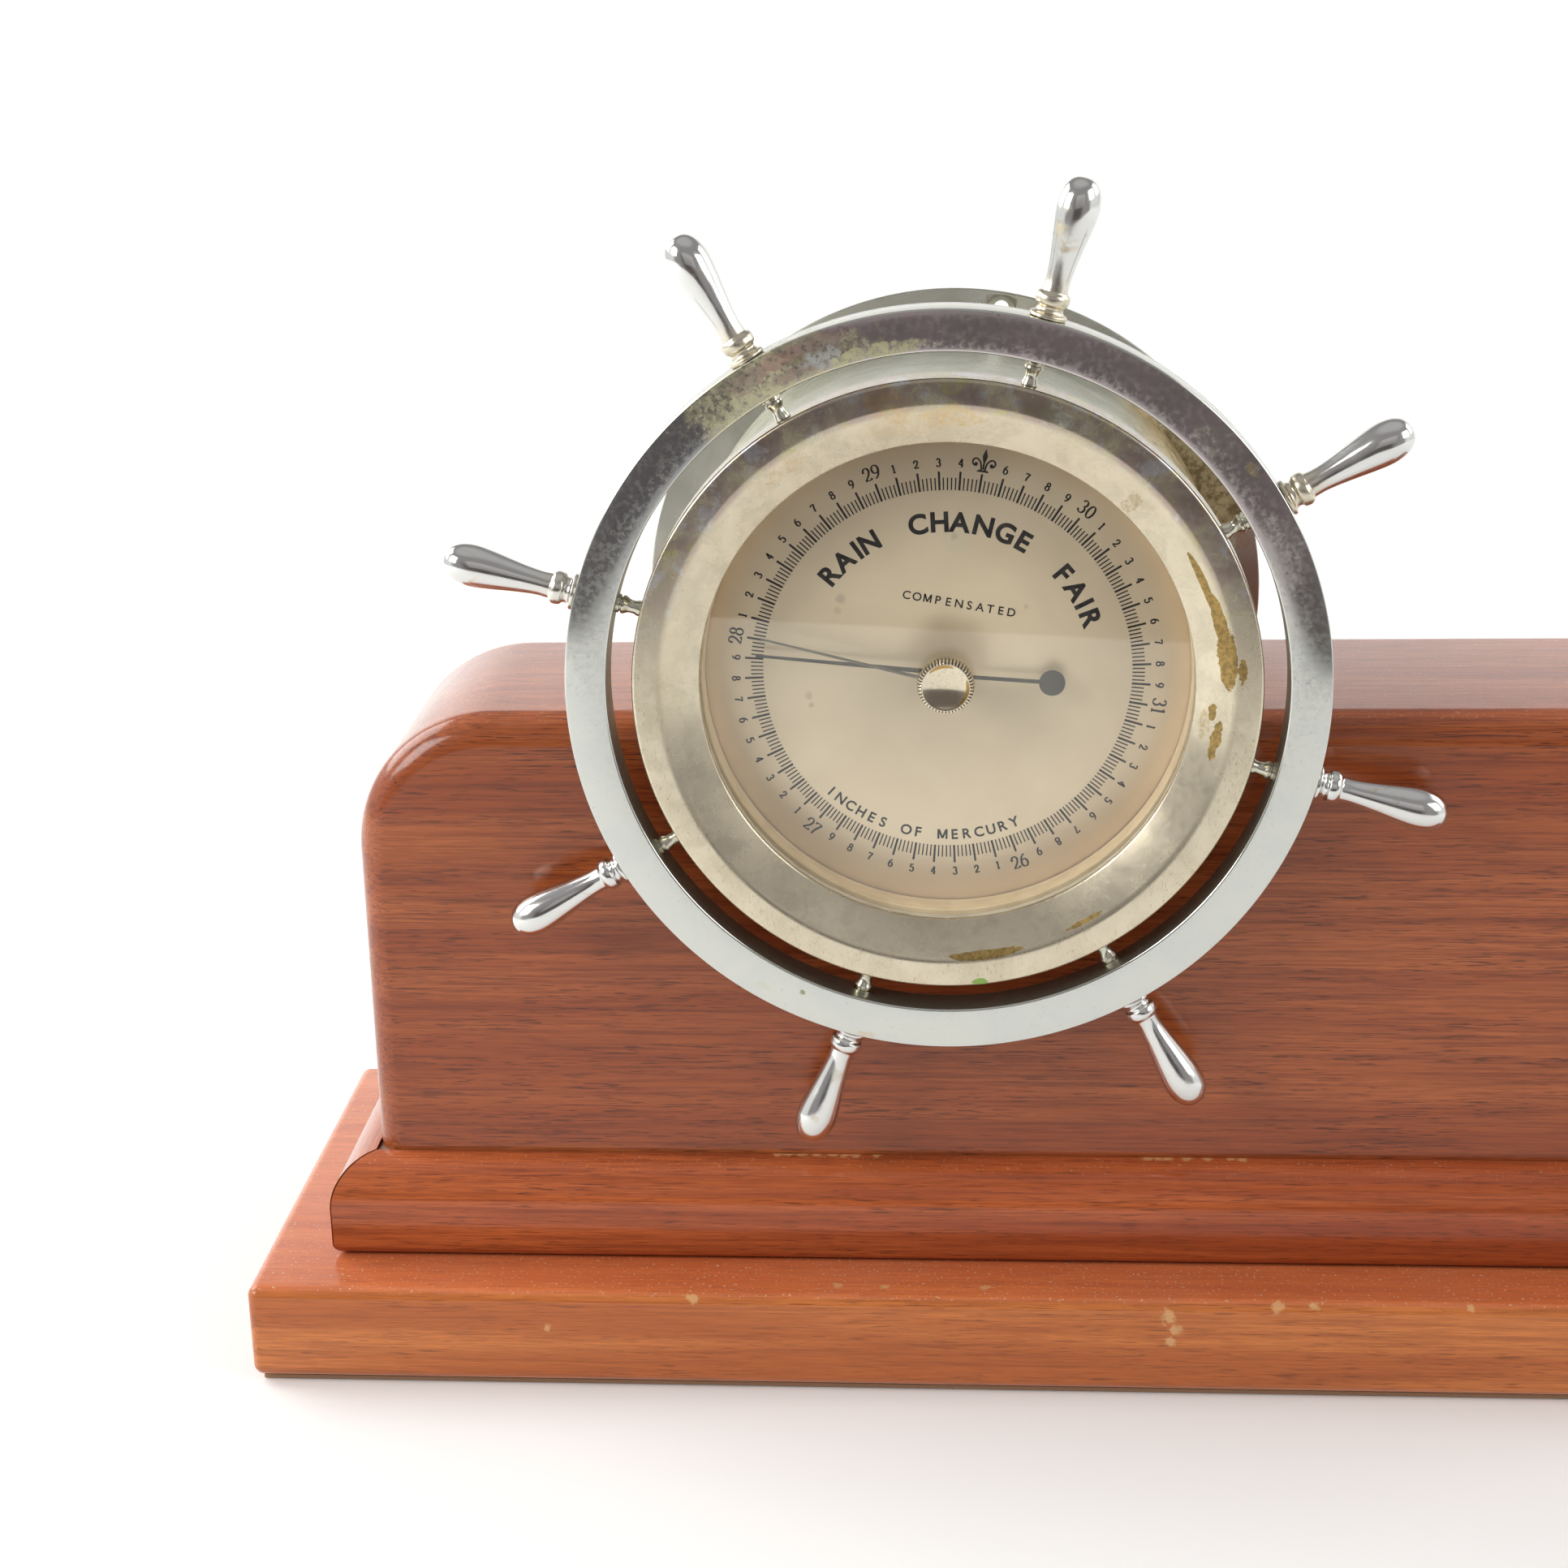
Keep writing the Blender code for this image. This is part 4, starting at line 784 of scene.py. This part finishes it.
def pin_profile():
    """Stepped collar at the rim, groove and bead, then a concave waist down to the bezel."""
    top = RIM_INNER + 0.4 * MM
    shape = [(0, 0), (2.3, 0), (2.3, 1.2), (1.8, 1.4), (1.8, 1.6), (2.2, 1.8), (2.25, 2.3), (2.0, 2.8),
             (1.7, 3.3), (1.55, 4.0), (1.60, 4.9), (1.9, 5.7), (1.9, 6.3), (0, 6.3)]
    return [(radius * MM, top - along * MM) for radius, along in shape]


def make_wheel():
    edge = 0.35 * MM
    outline = [(RIM_INNER, 0), (RIM_OUTER, 0), (RIM_OUTER, RIM_THICKNESS), (RIM_INNER, RIM_THICKNESS)]
    rim = lathe("wheel_ring", rounded(outline, (0.55 * MM, edge, edge, edge), 4), 288)
    dress(rim, RIM_CHROME, "stand", "chrome", "wheel_rim")
    for index in range(HANDLE_COUNT):
        number = index + 1
        lean = Matrix.Translation((0, 0, RIM_OUTER)) @ Matrix.Rotation(HANDLE_LEANS.get(number, 0.0), 4, "Y")
        matrix = spoke_matrix(index) @ lean @ Matrix.Translation((0, 0, -RIM_OUTER))
        grip = lathe(f"grip_{number}", handle_profile(), 48, False, matrix)
        dress(grip, HANDLE_CHROME, "stand", "chrome", f"handle_{number}")
        pin = lathe(f"turned_pin_{number}", pin_profile(), 32, False, spoke_matrix(index))
        dress(pin, PIN_METAL, "stand", "worn_chrome", f"spoke_pin_{number}")


# --- case ----------------------------------------------------------------------------------------

def make_bezel():
    outer = radius_of("bezel")
    skirt_end = depth_of("bezel")[1]
    outline = [(outer, 0), (67.9 * MM, 0), (58.8 * MM, 4.9 * MM), (58.8 * MM, 6.3 * MM),
               (67.0 * MM, 2.3 * MM), (70.4 * MM, 2.3 * MM), (70.4 * MM, skirt_end), (outer, skirt_end)]
    radii = (0.9 * MM, 4.0 * MM, 0.6 * MM, 0.3 * MM, 0, 0, 0.3 * MM, 0.5 * MM)
    bezel = lathe("bezel_ring", rounded(outline, radii, 8), 288)
    dress(bezel, BEZEL_METAL, "stand", "worn_chrome", "bezel")


def make_case():
    front, back = depth_of("case_drum")
    outer = radius_of("case_drum")
    inner = outer - 1.5 * MM
    drum = lathe("drum_shell", [(inner, front), (outer, front), (outer, back), (inner, back)], 288)
    dress(drum, CASE_METAL, "stand", "nickel", "case_drum")
    make_flange()
    front, back = depth_of("dial_sleeve")
    sleeve, web, wall = 58.7 * MM, outer - 1.8 * MM, 1.5 * MM
    outline = [(sleeve, front), (web, front), (web, front + wall), (sleeve + wall, front + wall),
               (sleeve + wall, back), (sleeve, back)]
    radii = (0.4 * MM, 0, 0, 0.3 * MM, 0.3 * MM, 0.3 * MM)
    ring = lathe("inner_sleeve", rounded(outline, radii, 4), 256)
    dress(ring, CREAM, "stand", "cream_trim", "dial_sleeve")


def make_flange():
    """The back plate, with the adjuster's hole and three countersunk screw holes."""
    front, back = depth_of("case_flange")
    radius, lip, eased = radius_of("case_flange"), 0.5 * MM, 0.15 * MM
    profile = [(0, front), (radius - lip, front), (radius - eased, front + eased), (radius, front + lip),
               (radius, back - lip), (radius - eased, back - eased), (radius - lip, back), (0, back)]
    plate_piece = lathe("back_plate", profile, 288, False)
    circle = 76.7 * MM
    for index in range(3):
        angle = math.radians(9.7) + index * math.tau / 3
        centre = AXIS + Vector((circle * math.sin(angle), 0, circle * math.cos(angle)))
        drill(plate_piece, facing_back(centre), front, back, 1.95 * MM, 3.5 * MM)
    centre = middle_of("adjusting_screw")
    drill(plate_piece, facing_back((centre.x, AXIS.y, centre.z)), front, back, 3.8 * MM)
    dress(plate_piece, CASE_METAL, "stand", "nickel", "case_flange")


# --- dial ----------------------------------------------------------------------------------------

SCALE_INNER = 44.6 * MM
MINOR_OUTER = 47.6 * MM
MAJOR_OUTER = 49.1 * MM
DIGIT_RADIUS = 51.25 * MM
NUMERAL_RADIUS = 51.85 * MM
DEGREES_PER_INCH = 60
LOWEST_INCH = 26
TOP_READING = 29.5

DIGITS = {
    "0": [arc((0.29, 0.5), (0.23, 0.48), 90, 450, 24)],
    "1": [[(0.28, 0.0), (0.28, 0.5), (0.28, 1.0)], [(0.28, 0.99), (0.12, 0.84)],
          [(0.12, 0.02), (0.44, 0.02)]],
    "2": [arc((0.28, 0.73), (0.21, 0.25), 200, -25) + [(0.40, 0.44), (0.25, 0.25), (0.07, 0.05)],
          [(0.06, 0.05), (0.52, 0.05)], [(0.51, 0.03), (0.53, 0.18)]],
    "3": [arc((0.27, 0.745), (0.19, 0.235), 165, -85), arc((0.27, 0.265), (0.23, 0.265), 85, -165)],
    "4": [[(0.39, 0.0), (0.39, 1.0)], [(0.39, 0.98), (0.04, 0.29)], [(0.03, 0.28), (0.56, 0.28)],
          [(0.26, 0.02), (0.52, 0.02)]],
    "5": [[(0.11, 0.95), (0.48, 0.95)], [(0.12, 0.97), (0.09, 0.52)],
          arc((0.27, 0.31), (0.24, 0.31), 140, -160)],
    "6": [arc((0.29, 0.30), (0.23, 0.30), 90, 450, 20),
          [(0.06, 0.28), (0.08, 0.50), (0.17, 0.76), (0.31, 0.93), (0.46, 0.96)]],
    "7": [[(0.07, 0.95), (0.52, 0.95)], [(0.08, 0.97), (0.07, 0.80)],
          [(0.52, 0.95), (0.36, 0.60), (0.26, 0.30), (0.23, 0.0)]],
    "8": [arc((0.29, 0.745), (0.18, 0.235), 90, 450, 20), arc((0.29, 0.265), (0.23, 0.265), 90, 450, 20)],
}
DIGITS["9"] = [[(0.58 - x, 1 - y) for x, y in stroke] for stroke in DIGITS["6"]]


def dial_point(angle, radius, sideways=0.0, flipped=False):
    """A point of the dial plane: radius out at that angle, after a step to the letter's right."""
    if flipped:
        sideways = -sideways
    out = Vector((math.sin(angle), math.cos(angle)))
    right = Vector((math.cos(angle), -math.sin(angle)))
    return out * radius + right * sideways


class Print:
    """Flat black shapes gathered on the dial, then raised into thin solids."""

    def __init__(self):
        self.bm = bmesh.new()

    def face(self, points):
        self.bm.faces.new([self.bm.verts.new((x, DIAL_FRONT - INK_DEPTH, z)) for x, z in points])

    def bar(self, angle, inner, outer, width):
        corners = ((inner, -1), (outer, -1), (outer, 1), (inner, 1))
        self.face([dial_point(angle, radius, side * width / 2) for radius, side in corners])

    def stroke(self, points, thick, thin, put):
        """A pen stroke, thick where it runs upright and thin where it runs level."""
        points = [Vector(point) for point in points]
        edges = []
        for index, point in enumerate(points):
            run = points[min(index + 1, len(points) - 1)] - points[max(index - 1, 0)]
            if (points[0] - points[-1]).length < 1e-6 and index in (0, len(points) - 1):
                run = points[1] - points[-2]
            run.normalize()
            half = (thin + (thick - thin) * abs(run.y) ** 1.5) / 2
            aside = Vector((-run.y, run.x)) * half
            edges.append((put(point + aside), put(point - aside)))
        for (a, b), (c, d) in zip(edges, edges[1:]):
            self.face((a, b, d, c))

    def number(self, text, angle, radius, height, thick, thin, flipped):
        """Figures centred at an angle, tops outwards, or inwards if flipped."""
        advance = 0.66
        start = -len(text) * advance / 2
        for index, figure in enumerate(text):
            def put(point, index=index):
                across = (start + index * advance + 0.04 + point.x) * height
                up = (point.y - 0.5) * height
                return dial_point(angle, radius + (-up if flipped else up), across, flipped)
            for points in DIGITS[figure]:
                self.stroke([(x * height, y * height) for x, y in points], thick, thin,
                            lambda point: put(point / height))

    def finish(self):
        extrude(self.bm, self.bm.faces[:], (0, -INK_RAISE, 0))
        self.bm.transform(Matrix.Translation(AXIS))
        bmesh.ops.recalc_face_normals(self.bm, faces=self.bm.faces)
        mesh = bpy.data.meshes.new("dial_print")
        self.bm.to_mesh(mesh)
        self.bm.free()
        return add_object("dial_print", mesh)


def letter_mesh(letter, weight):
    """A flat letter of Blender's own font, as (points, faces)."""
    curve = bpy.data.curves.new("letter", "FONT")
    curve.body = letter
    curve.offset = weight
    curve.resolution_u = 6
    holder = add_object("letter", curve)
    depsgraph = bpy.context.evaluated_depsgraph_get()
    mesh = bpy.data.meshes.new_from_object(holder.evaluated_get(depsgraph))
    points = [vert.co.copy() for vert in mesh.vertices]
    faces = [tuple(polygon.vertices) for polygon in mesh.polygons]
    bpy.data.objects.remove(holder, do_unlink=True)
    return points, faces


M_STROKES = (((0.07, 0.0), (0.07, 1.0)), ((0.10, 0.97), (0.47, 0.08)), ((0.47, 0.08), (0.84, 0.97)),
             ((0.87, 1.0), (0.87, 0.0)))


def write_letter(ink_print, letter, height, weight, put):
    """Put one letter, centred on its own width and middle, onto the print."""
    cap = max(point.y for point in letter_mesh("H", weight)[0])
    if letter == "M":        # the font's own M does not take extra weight
        stem = (0.098 + 2 * weight) / cap * height
        for points in M_STROKES:
            ink_print.stroke([((x - 0.47) * height, (y - 0.5) * height) for x, y in points], stem, stem,
                             lambda point: put(point.x, point.y))
        return
    points, faces = letter_mesh(letter, weight)
    middle = (max(point.x for point in points) + min(point.x for point in points)) / 2
    placed = [put((point.x - middle) * height / cap, (point.y - cap / 2) * height / cap) for point in points]
    verts = [ink_print.bm.verts.new((x, DIAL_FRONT - INK_DEPTH, z)) for x, z in placed]
    for face in faces:
        ink_print.bm.faces.new([verts[index] for index in face])


def word_on_arc(ink_print, word, degrees, radius, height, weight, flipped=False):
    """Letters at angles in degrees from the scale's own upright."""
    for letter, at in zip(word, degrees):
        angle = DIAL_TURN + math.radians(at)

        def put(across, up, angle=angle):
            return dial_point(angle, radius + (-up if flipped else up), across, flipped)
        write_letter(ink_print, letter, height, weight, put)


def word_straight(ink_print, word, radius, spacing, height, weight):
    """A straight word square to the scale's upright."""
    for index, letter in enumerate(word):
        at = (index - (len(word) - 1) / 2) * spacing

        def put(across, up, at=at):
            return dial_point(DIAL_TURN, radius + up, at + across)
        write_letter(ink_print, letter, height, weight, put)


def print_scale(ink_print):
    """Six inches of mercury round the whole circle, fifty marks to the inch."""
    for division in range(6 * 50):
        reading = LOWEST_INCH + division / 50
        angle = DIAL_TURN + math.radians((reading - TOP_READING) * DEGREES_PER_INCH)
        if division % 5 == 0:
            ink_print.bar(angle, SCALE_INNER, MAJOR_OUTER, 0.52 * MM)
        else:
            ink_print.bar(angle, SCALE_INNER, MINOR_OUTER, 0.32 * MM)
    for tenth in range(60):
        at = LOWEST_INCH * 10 + tenth
        away = (at / 10 - TOP_READING) * DEGREES_PER_INCH
        flipped = away < -90.5
        if away < -180:
            away += 360
            flipped = away > 90.5
        angle = DIAL_TURN + math.radians(away)
        if at == TOP_READING * 10:
            continue
        if at % 10:
            ink_print.number(str(at % 10), angle, DIGIT_RADIUS, 1.95 * MM, 0.42 * MM, 0.29 * MM, flipped)
        else:
            ink_print.number(str(at // 10), angle, NUMERAL_RADIUS, 3.3 * MM, 0.52 * MM, 0.27 * MM, flipped)


def print_top_mark(ink_print):
    """A plain spear between two curled leaves, over the scale's highest point."""
    def put(point):
        return dial_point(DIAL_TURN, 49.3 * MM + point[1] * MM, point[0] * MM)

    ink_print.face([put(point) for point in ((0, 6.0), (0.62, 4.2), (0.45, 3.3), (0.22, 2.6), (0.22, 0.9),
                                             (-0.22, 0.9), (-0.22, 2.6), (-0.45, 3.3), (-0.62, 4.2))])
    ink_print.face([put(point) for point in ((-1.5, 0.25), (1.5, 0.25), (1.1, 0.75), (-1.1, 0.75))])
    for sign in (-1, 1):
        stem = [(sign * 0.45, 0.7), (sign * 0.55, 1.6), (sign * 0.85, 2.6), (sign * 1.6, 3.35)]
        curl = [(sign * x, y) for x, y in arc((1.95, 2.55), (0.75, 0.85), 130, -120, 14)]
        for points in (smooth_line(stem, 4), curl):
            ink_print.stroke(points, 0.42, 0.36, put)
        ink_print.face([put((sign * 1.85 + 0.42 * math.cos(k), 2.1 + 0.42 * math.sin(k)))
                        for k in (math.tau * step / 12 for step in range(12))])


def make_dial():
    hole, edge = 2.2 * MM, 0.1 * MM
    back, radius = depth_of("dial")[1], radius_of("dial")
    outline = [(hole, DIAL_FRONT), (radius, DIAL_FRONT), (radius, back), (hole, back)]
    face = lathe("dial_face", rounded(outline, (edge, edge, edge, edge), 2), 256)
    dress(face, DIAL_METAL, "stand", "silvered_dial", "dial")
    ink_print = Print()
    print_scale(ink_print)
    print_top_mark(ink_print)
    for word, places in (("RAIN", (-59.2, -51.9, -45.4, -39.9)),
                         ("CHANGE", (-20.6, -12.5, -5.0, 3.9, 12.3, 19.9)),
                         ("FAIR", (39.2, 47.0, 53.1, 59.3))):
        word_on_arc(ink_print, word, places, 37.0 * MM, 4.75 * MM, 0.034)
    word_straight(ink_print, "COMPENSATED", 17.1 * MM, 2.55 * MM, 2.0 * MM, 0.014)
    legend = "INCHES OF MERCURY"
    span = 66.0
    step = span / (len(legend) - 1)
    places = [(180 + span / 2 - index * step, letter) for index, letter in enumerate(legend) if letter != " "]
    word_on_arc(ink_print, [letter for _, letter in places], [at for at, _ in places], 41.7 * MM, 2.5 * MM,
                0.022, True)
    dress(ink_print.finish(), INK, "stand", "dark_steel")


# --- hands ---------------------------------------------------------------------------------------

def blade(length, tip_half, root_half, root_shift, hub, tail_half, tail_end, tail_shift):
    """Outline of a hand pointing up: a tapering blade, a round hub and a tail.

    The shifts move the blade's root and the tail sideways, as a hand bends with handling.
    """
    def rim(x, sign):
        return (x, sign * math.sqrt(hub * hub - x * x))

    outline = [(-tip_half, length), (tip_half, length), rim(root_shift + root_half, 1)]
    start = math.degrees(math.acos((root_shift + root_half) / hub))
    end = -math.degrees(math.acos(tail_half / hub))
    outline += arc((0, 0), (hub, hub), start, end, 16)[1:]
    outline += [(tail_shift + tail_half, -tail_end), (tail_shift - tail_half, -tail_end)]
    start = -180 - end
    end = -360 + math.degrees(math.acos((root_shift - root_half) / hub))
    return outline + arc((0, 0), (hub, hub), start, end, 16)


def make_hands():
    front, back = depth_of("pointer_hand")
    turn = Matrix.Rotation(math.radians(-83.8), 4, "Y")
    weight_middle, weight_radius, weight_shift, tail_half = 25.4 * MM, 3.15 * MM, 0.7 * MM, 0.44 * MM
    tail_end = weight_middle - 0.9 * weight_radius
    outline = blade(46.3 * MM, 0.30 * MM, 0.55 * MM, 0.5 * MM, 2.2 * MM, tail_half, tail_end, weight_shift)
    lift = math.degrees(math.asin(tail_half / weight_radius))
    disc = arc((weight_shift, -weight_middle), (weight_radius, weight_radius), 90 - lift, -270 + lift, 40)
    tail = outline.index((weight_shift + tail_half, -tail_end))
    outline = outline[:tail] + disc + outline[tail + 2:]
    pointer = plate("indicating_hand", outline, front, back, turn, 0.08 * MM)
    dress(pointer, POINTER_METAL, "pointer", "dark_steel", "pointer_hand")
    front, back = depth_of("set_hand")
    turn = Matrix.Rotation(math.radians(-77.3), 4, "Y")
    outline = blade(45.6 * MM, 0.22 * MM, 0.44 * MM, -1.2 * MM, 3.2 * MM, 0.4 * MM, 4.5 * MM, 0.0)
    hand = plate("marker_hand", outline, front, back, turn, 0.06 * MM)
    dress(hand, MARKER_METAL, "set_hand", "spring_steel", "set_hand")
    make_knob()


def make_knob():
    """A knurled disc with a dished, polished face and a thin shank."""
    front, back = depth_of("set_knob")
    radius, shank = radius_of("set_knob"), 1.5 * MM
    face_edge = radius - 1.15 * MM
    dish = [(face_edge * step / 14, front + 0.62 * MM * (1 - (step / 14) ** 2)) for step in range(15)]
    rear = front + 3.7 * MM
    profile = dish + [(face_edge + 0.12 * MM, front + 0.02 * MM), (face_edge + 0.28 * MM, front + 0.10 * MM),
                      (radius - 0.28 * MM, front + 0.30 * MM), (radius - 0.06 * MM, front + 0.70 * MM),
                      (radius, front + 1.2 * MM), (radius, rear - 0.5 * MM), (radius - 0.5 * MM, rear),
                      (shank, rear), (shank, back), (0, back)]
    knurl = (KNURL_TEETH, 0.32 * MM, face_edge + 0.2 * MM)
    knob = lathe("knurled_knob", profile, 10 * KNURL_TEETH, False, knurl=knurl)
    dress(knob, KNOB_CHROME, "set_hand", "chrome", "set_knob")


# --- carried-over CAD nodes ----------------------------------------------------------------------

def dress_cad_nodes():
    """The CAD nodes that stay get a finer material for their slot."""
    by_slot = {"brass": BRASS, "spring_steel": STEEL, "packing": PACKING, "glass": GLASS, "felt": FELT}
    slots = {entry["node"]: entry["material_slot"] for entry in frame["record"]["subparts"]}
    for name, node in frame["nodes"].items():
        material = by_slot.get(slots.get(name))
        if material:
            for holder in node.material_slots:
                holder.material = material


# --- stage, lights, camera -----------------------------------------------------------------------

def make_stage():
    """A pale floor that curves up into a backdrop.  Its front edge is just behind the camera."""
    bend, radius, top, half = 0.75, 0.35, 0.75, 1.7
    front = ((-half, -1.05), (-0.5, -0.865), (0.3, -0.69), (half, -0.55))
    line = [(-0.3, 0.0), (bend, 0.0)]
    line += [(bend + y, z) for y, z in arc((0, radius), (radius, radius), -85, 0, 16)]
    line.append((bend + radius, top))
    under = 0.3 * MM
    bm = bmesh.new()
    rows = [[bm.verts.new((x, y, -under)) for x, y in front]]
    rows += [[bm.verts.new((x, y, z - under)) for x, _ in front] for y, z in line]
    bridge(bm, rows, False)
    sweep = keep_mesh(bm, "studio_sweep", 60)
    made = Shader("pale_sweep", Base_Color=(0.94, 0.945, 0.935), Roughness=0.75)
    sweep.data.materials.append(made.material)


def make_world():
    """White room, with a dark low stretch behind the camera."""
    world = bpy.data.worlds.new("studio")
    bpy.context.scene.world = world
    world.use_nodes = True
    tree = world.node_tree
    x, y, z = split(Value(tree, add_node(tree, "ShaderNodeTexCoord").outputs["Generated"]))
    side = x.math("ABSOLUTE")
    low_back = y.between(-0.15, 0.2) * z.between(0.58, 0.38)
    bright = z.between(0.05, 0.50) * 0.27
    for other in (side.between(0.20, 0.50) * 0.27, z.between(0.62, 0.95) * 0.52, side.between(0.75, 0.92),
                  low_back):
        bright = bright.math("MAXIMUM", other)
    inputs = {0: bright, 6: (0.12, 0.10, 0.10), 7: (1.0, 1.0, 1.0)}
    blend = add_node(tree, "ShaderNodeMix", inputs, data_type="RGBA")
    background = tree.nodes["Background"]
    feed(background.inputs["Color"], Value(tree, blend.outputs[2]))
    feed(background.inputs["Strength"], 0.9)


def add_softbox(name, place, aim, width, height, power):
    light = bpy.data.lights.new(name, "AREA")
    light.shape = "RECTANGLE"
    light.size, light.size_y = width, height
    light.energy = power
    light.color = (1.0, 1.0, 0.99)
    lamp = add_object(name, light)
    lamp.location = place
    lamp.rotation_euler = (Vector(aim) - Vector(place)).to_track_quat("-Z", "Y").to_euler()


def make_lights():
    add_softbox("softbox_left", (-1.15, -0.68, 0.80), (0, 0, 0.10), 0.65, 0.65, 10.4)
    add_softbox("softbox_right", (1.25, -0.62, 0.80), (0, 0, 0.10), 0.75, 0.75, 6.6)
    add_softbox("softbox_front", (0.10, -1.30, 0.60), (0, 0, 0.15), 1.0, 0.7, 0.5)
    add_softbox("softbox_back_left", (-1.10, 0.40, 0.80), (-0.25, 0.25, 0), 0.8, 0.8, 10.5)
    add_softbox("softbox_back_right", (1.20, 0.50, 0.85), (0.25, 0.40, 0), 0.8, 0.8, 5.2)


def make_camera():
    """A 66 mm view from the front, 18 degrees down and 5 degrees to the left."""
    yaw, pitch, roll = math.radians(4.73), math.radians(18.02), math.radians(-1.47)
    ahead = Vector((-math.sin(yaw), math.cos(yaw), 0))
    right = Vector((math.cos(yaw), math.sin(yaw), 0))
    view = ahead * math.cos(pitch) - Vector((0, 0, math.sin(pitch)))
    upright = ahead * math.sin(pitch) + Vector((0, 0, math.cos(pitch)))
    across = right * math.cos(roll) + upright * math.sin(roll)
    above = upright * math.cos(roll) - right * math.sin(roll)
    camera = bpy.data.cameras.new("view")
    camera.lens = 66.2
    camera.sensor_width = 36.0
    holder = add_object("view", camera)
    holder.matrix_world = Matrix.Translation(AXIS + Vector((15.4, -653.6, 190.8)) * MM) @ Matrix(
        (across, above, -view)).transposed().to_4x4()
    bpy.context.scene.camera = holder
    bpy.context.scene.view_settings.view_transform = "Standard"


make_camera()
make_stage()
make_world()
make_lights()
make_block()
make_plinth()
make_mouldings()
make_corner_glue()
make_wheel()
make_bezel()
make_case()
make_dial()
make_hands()
dress_cad_nodes()
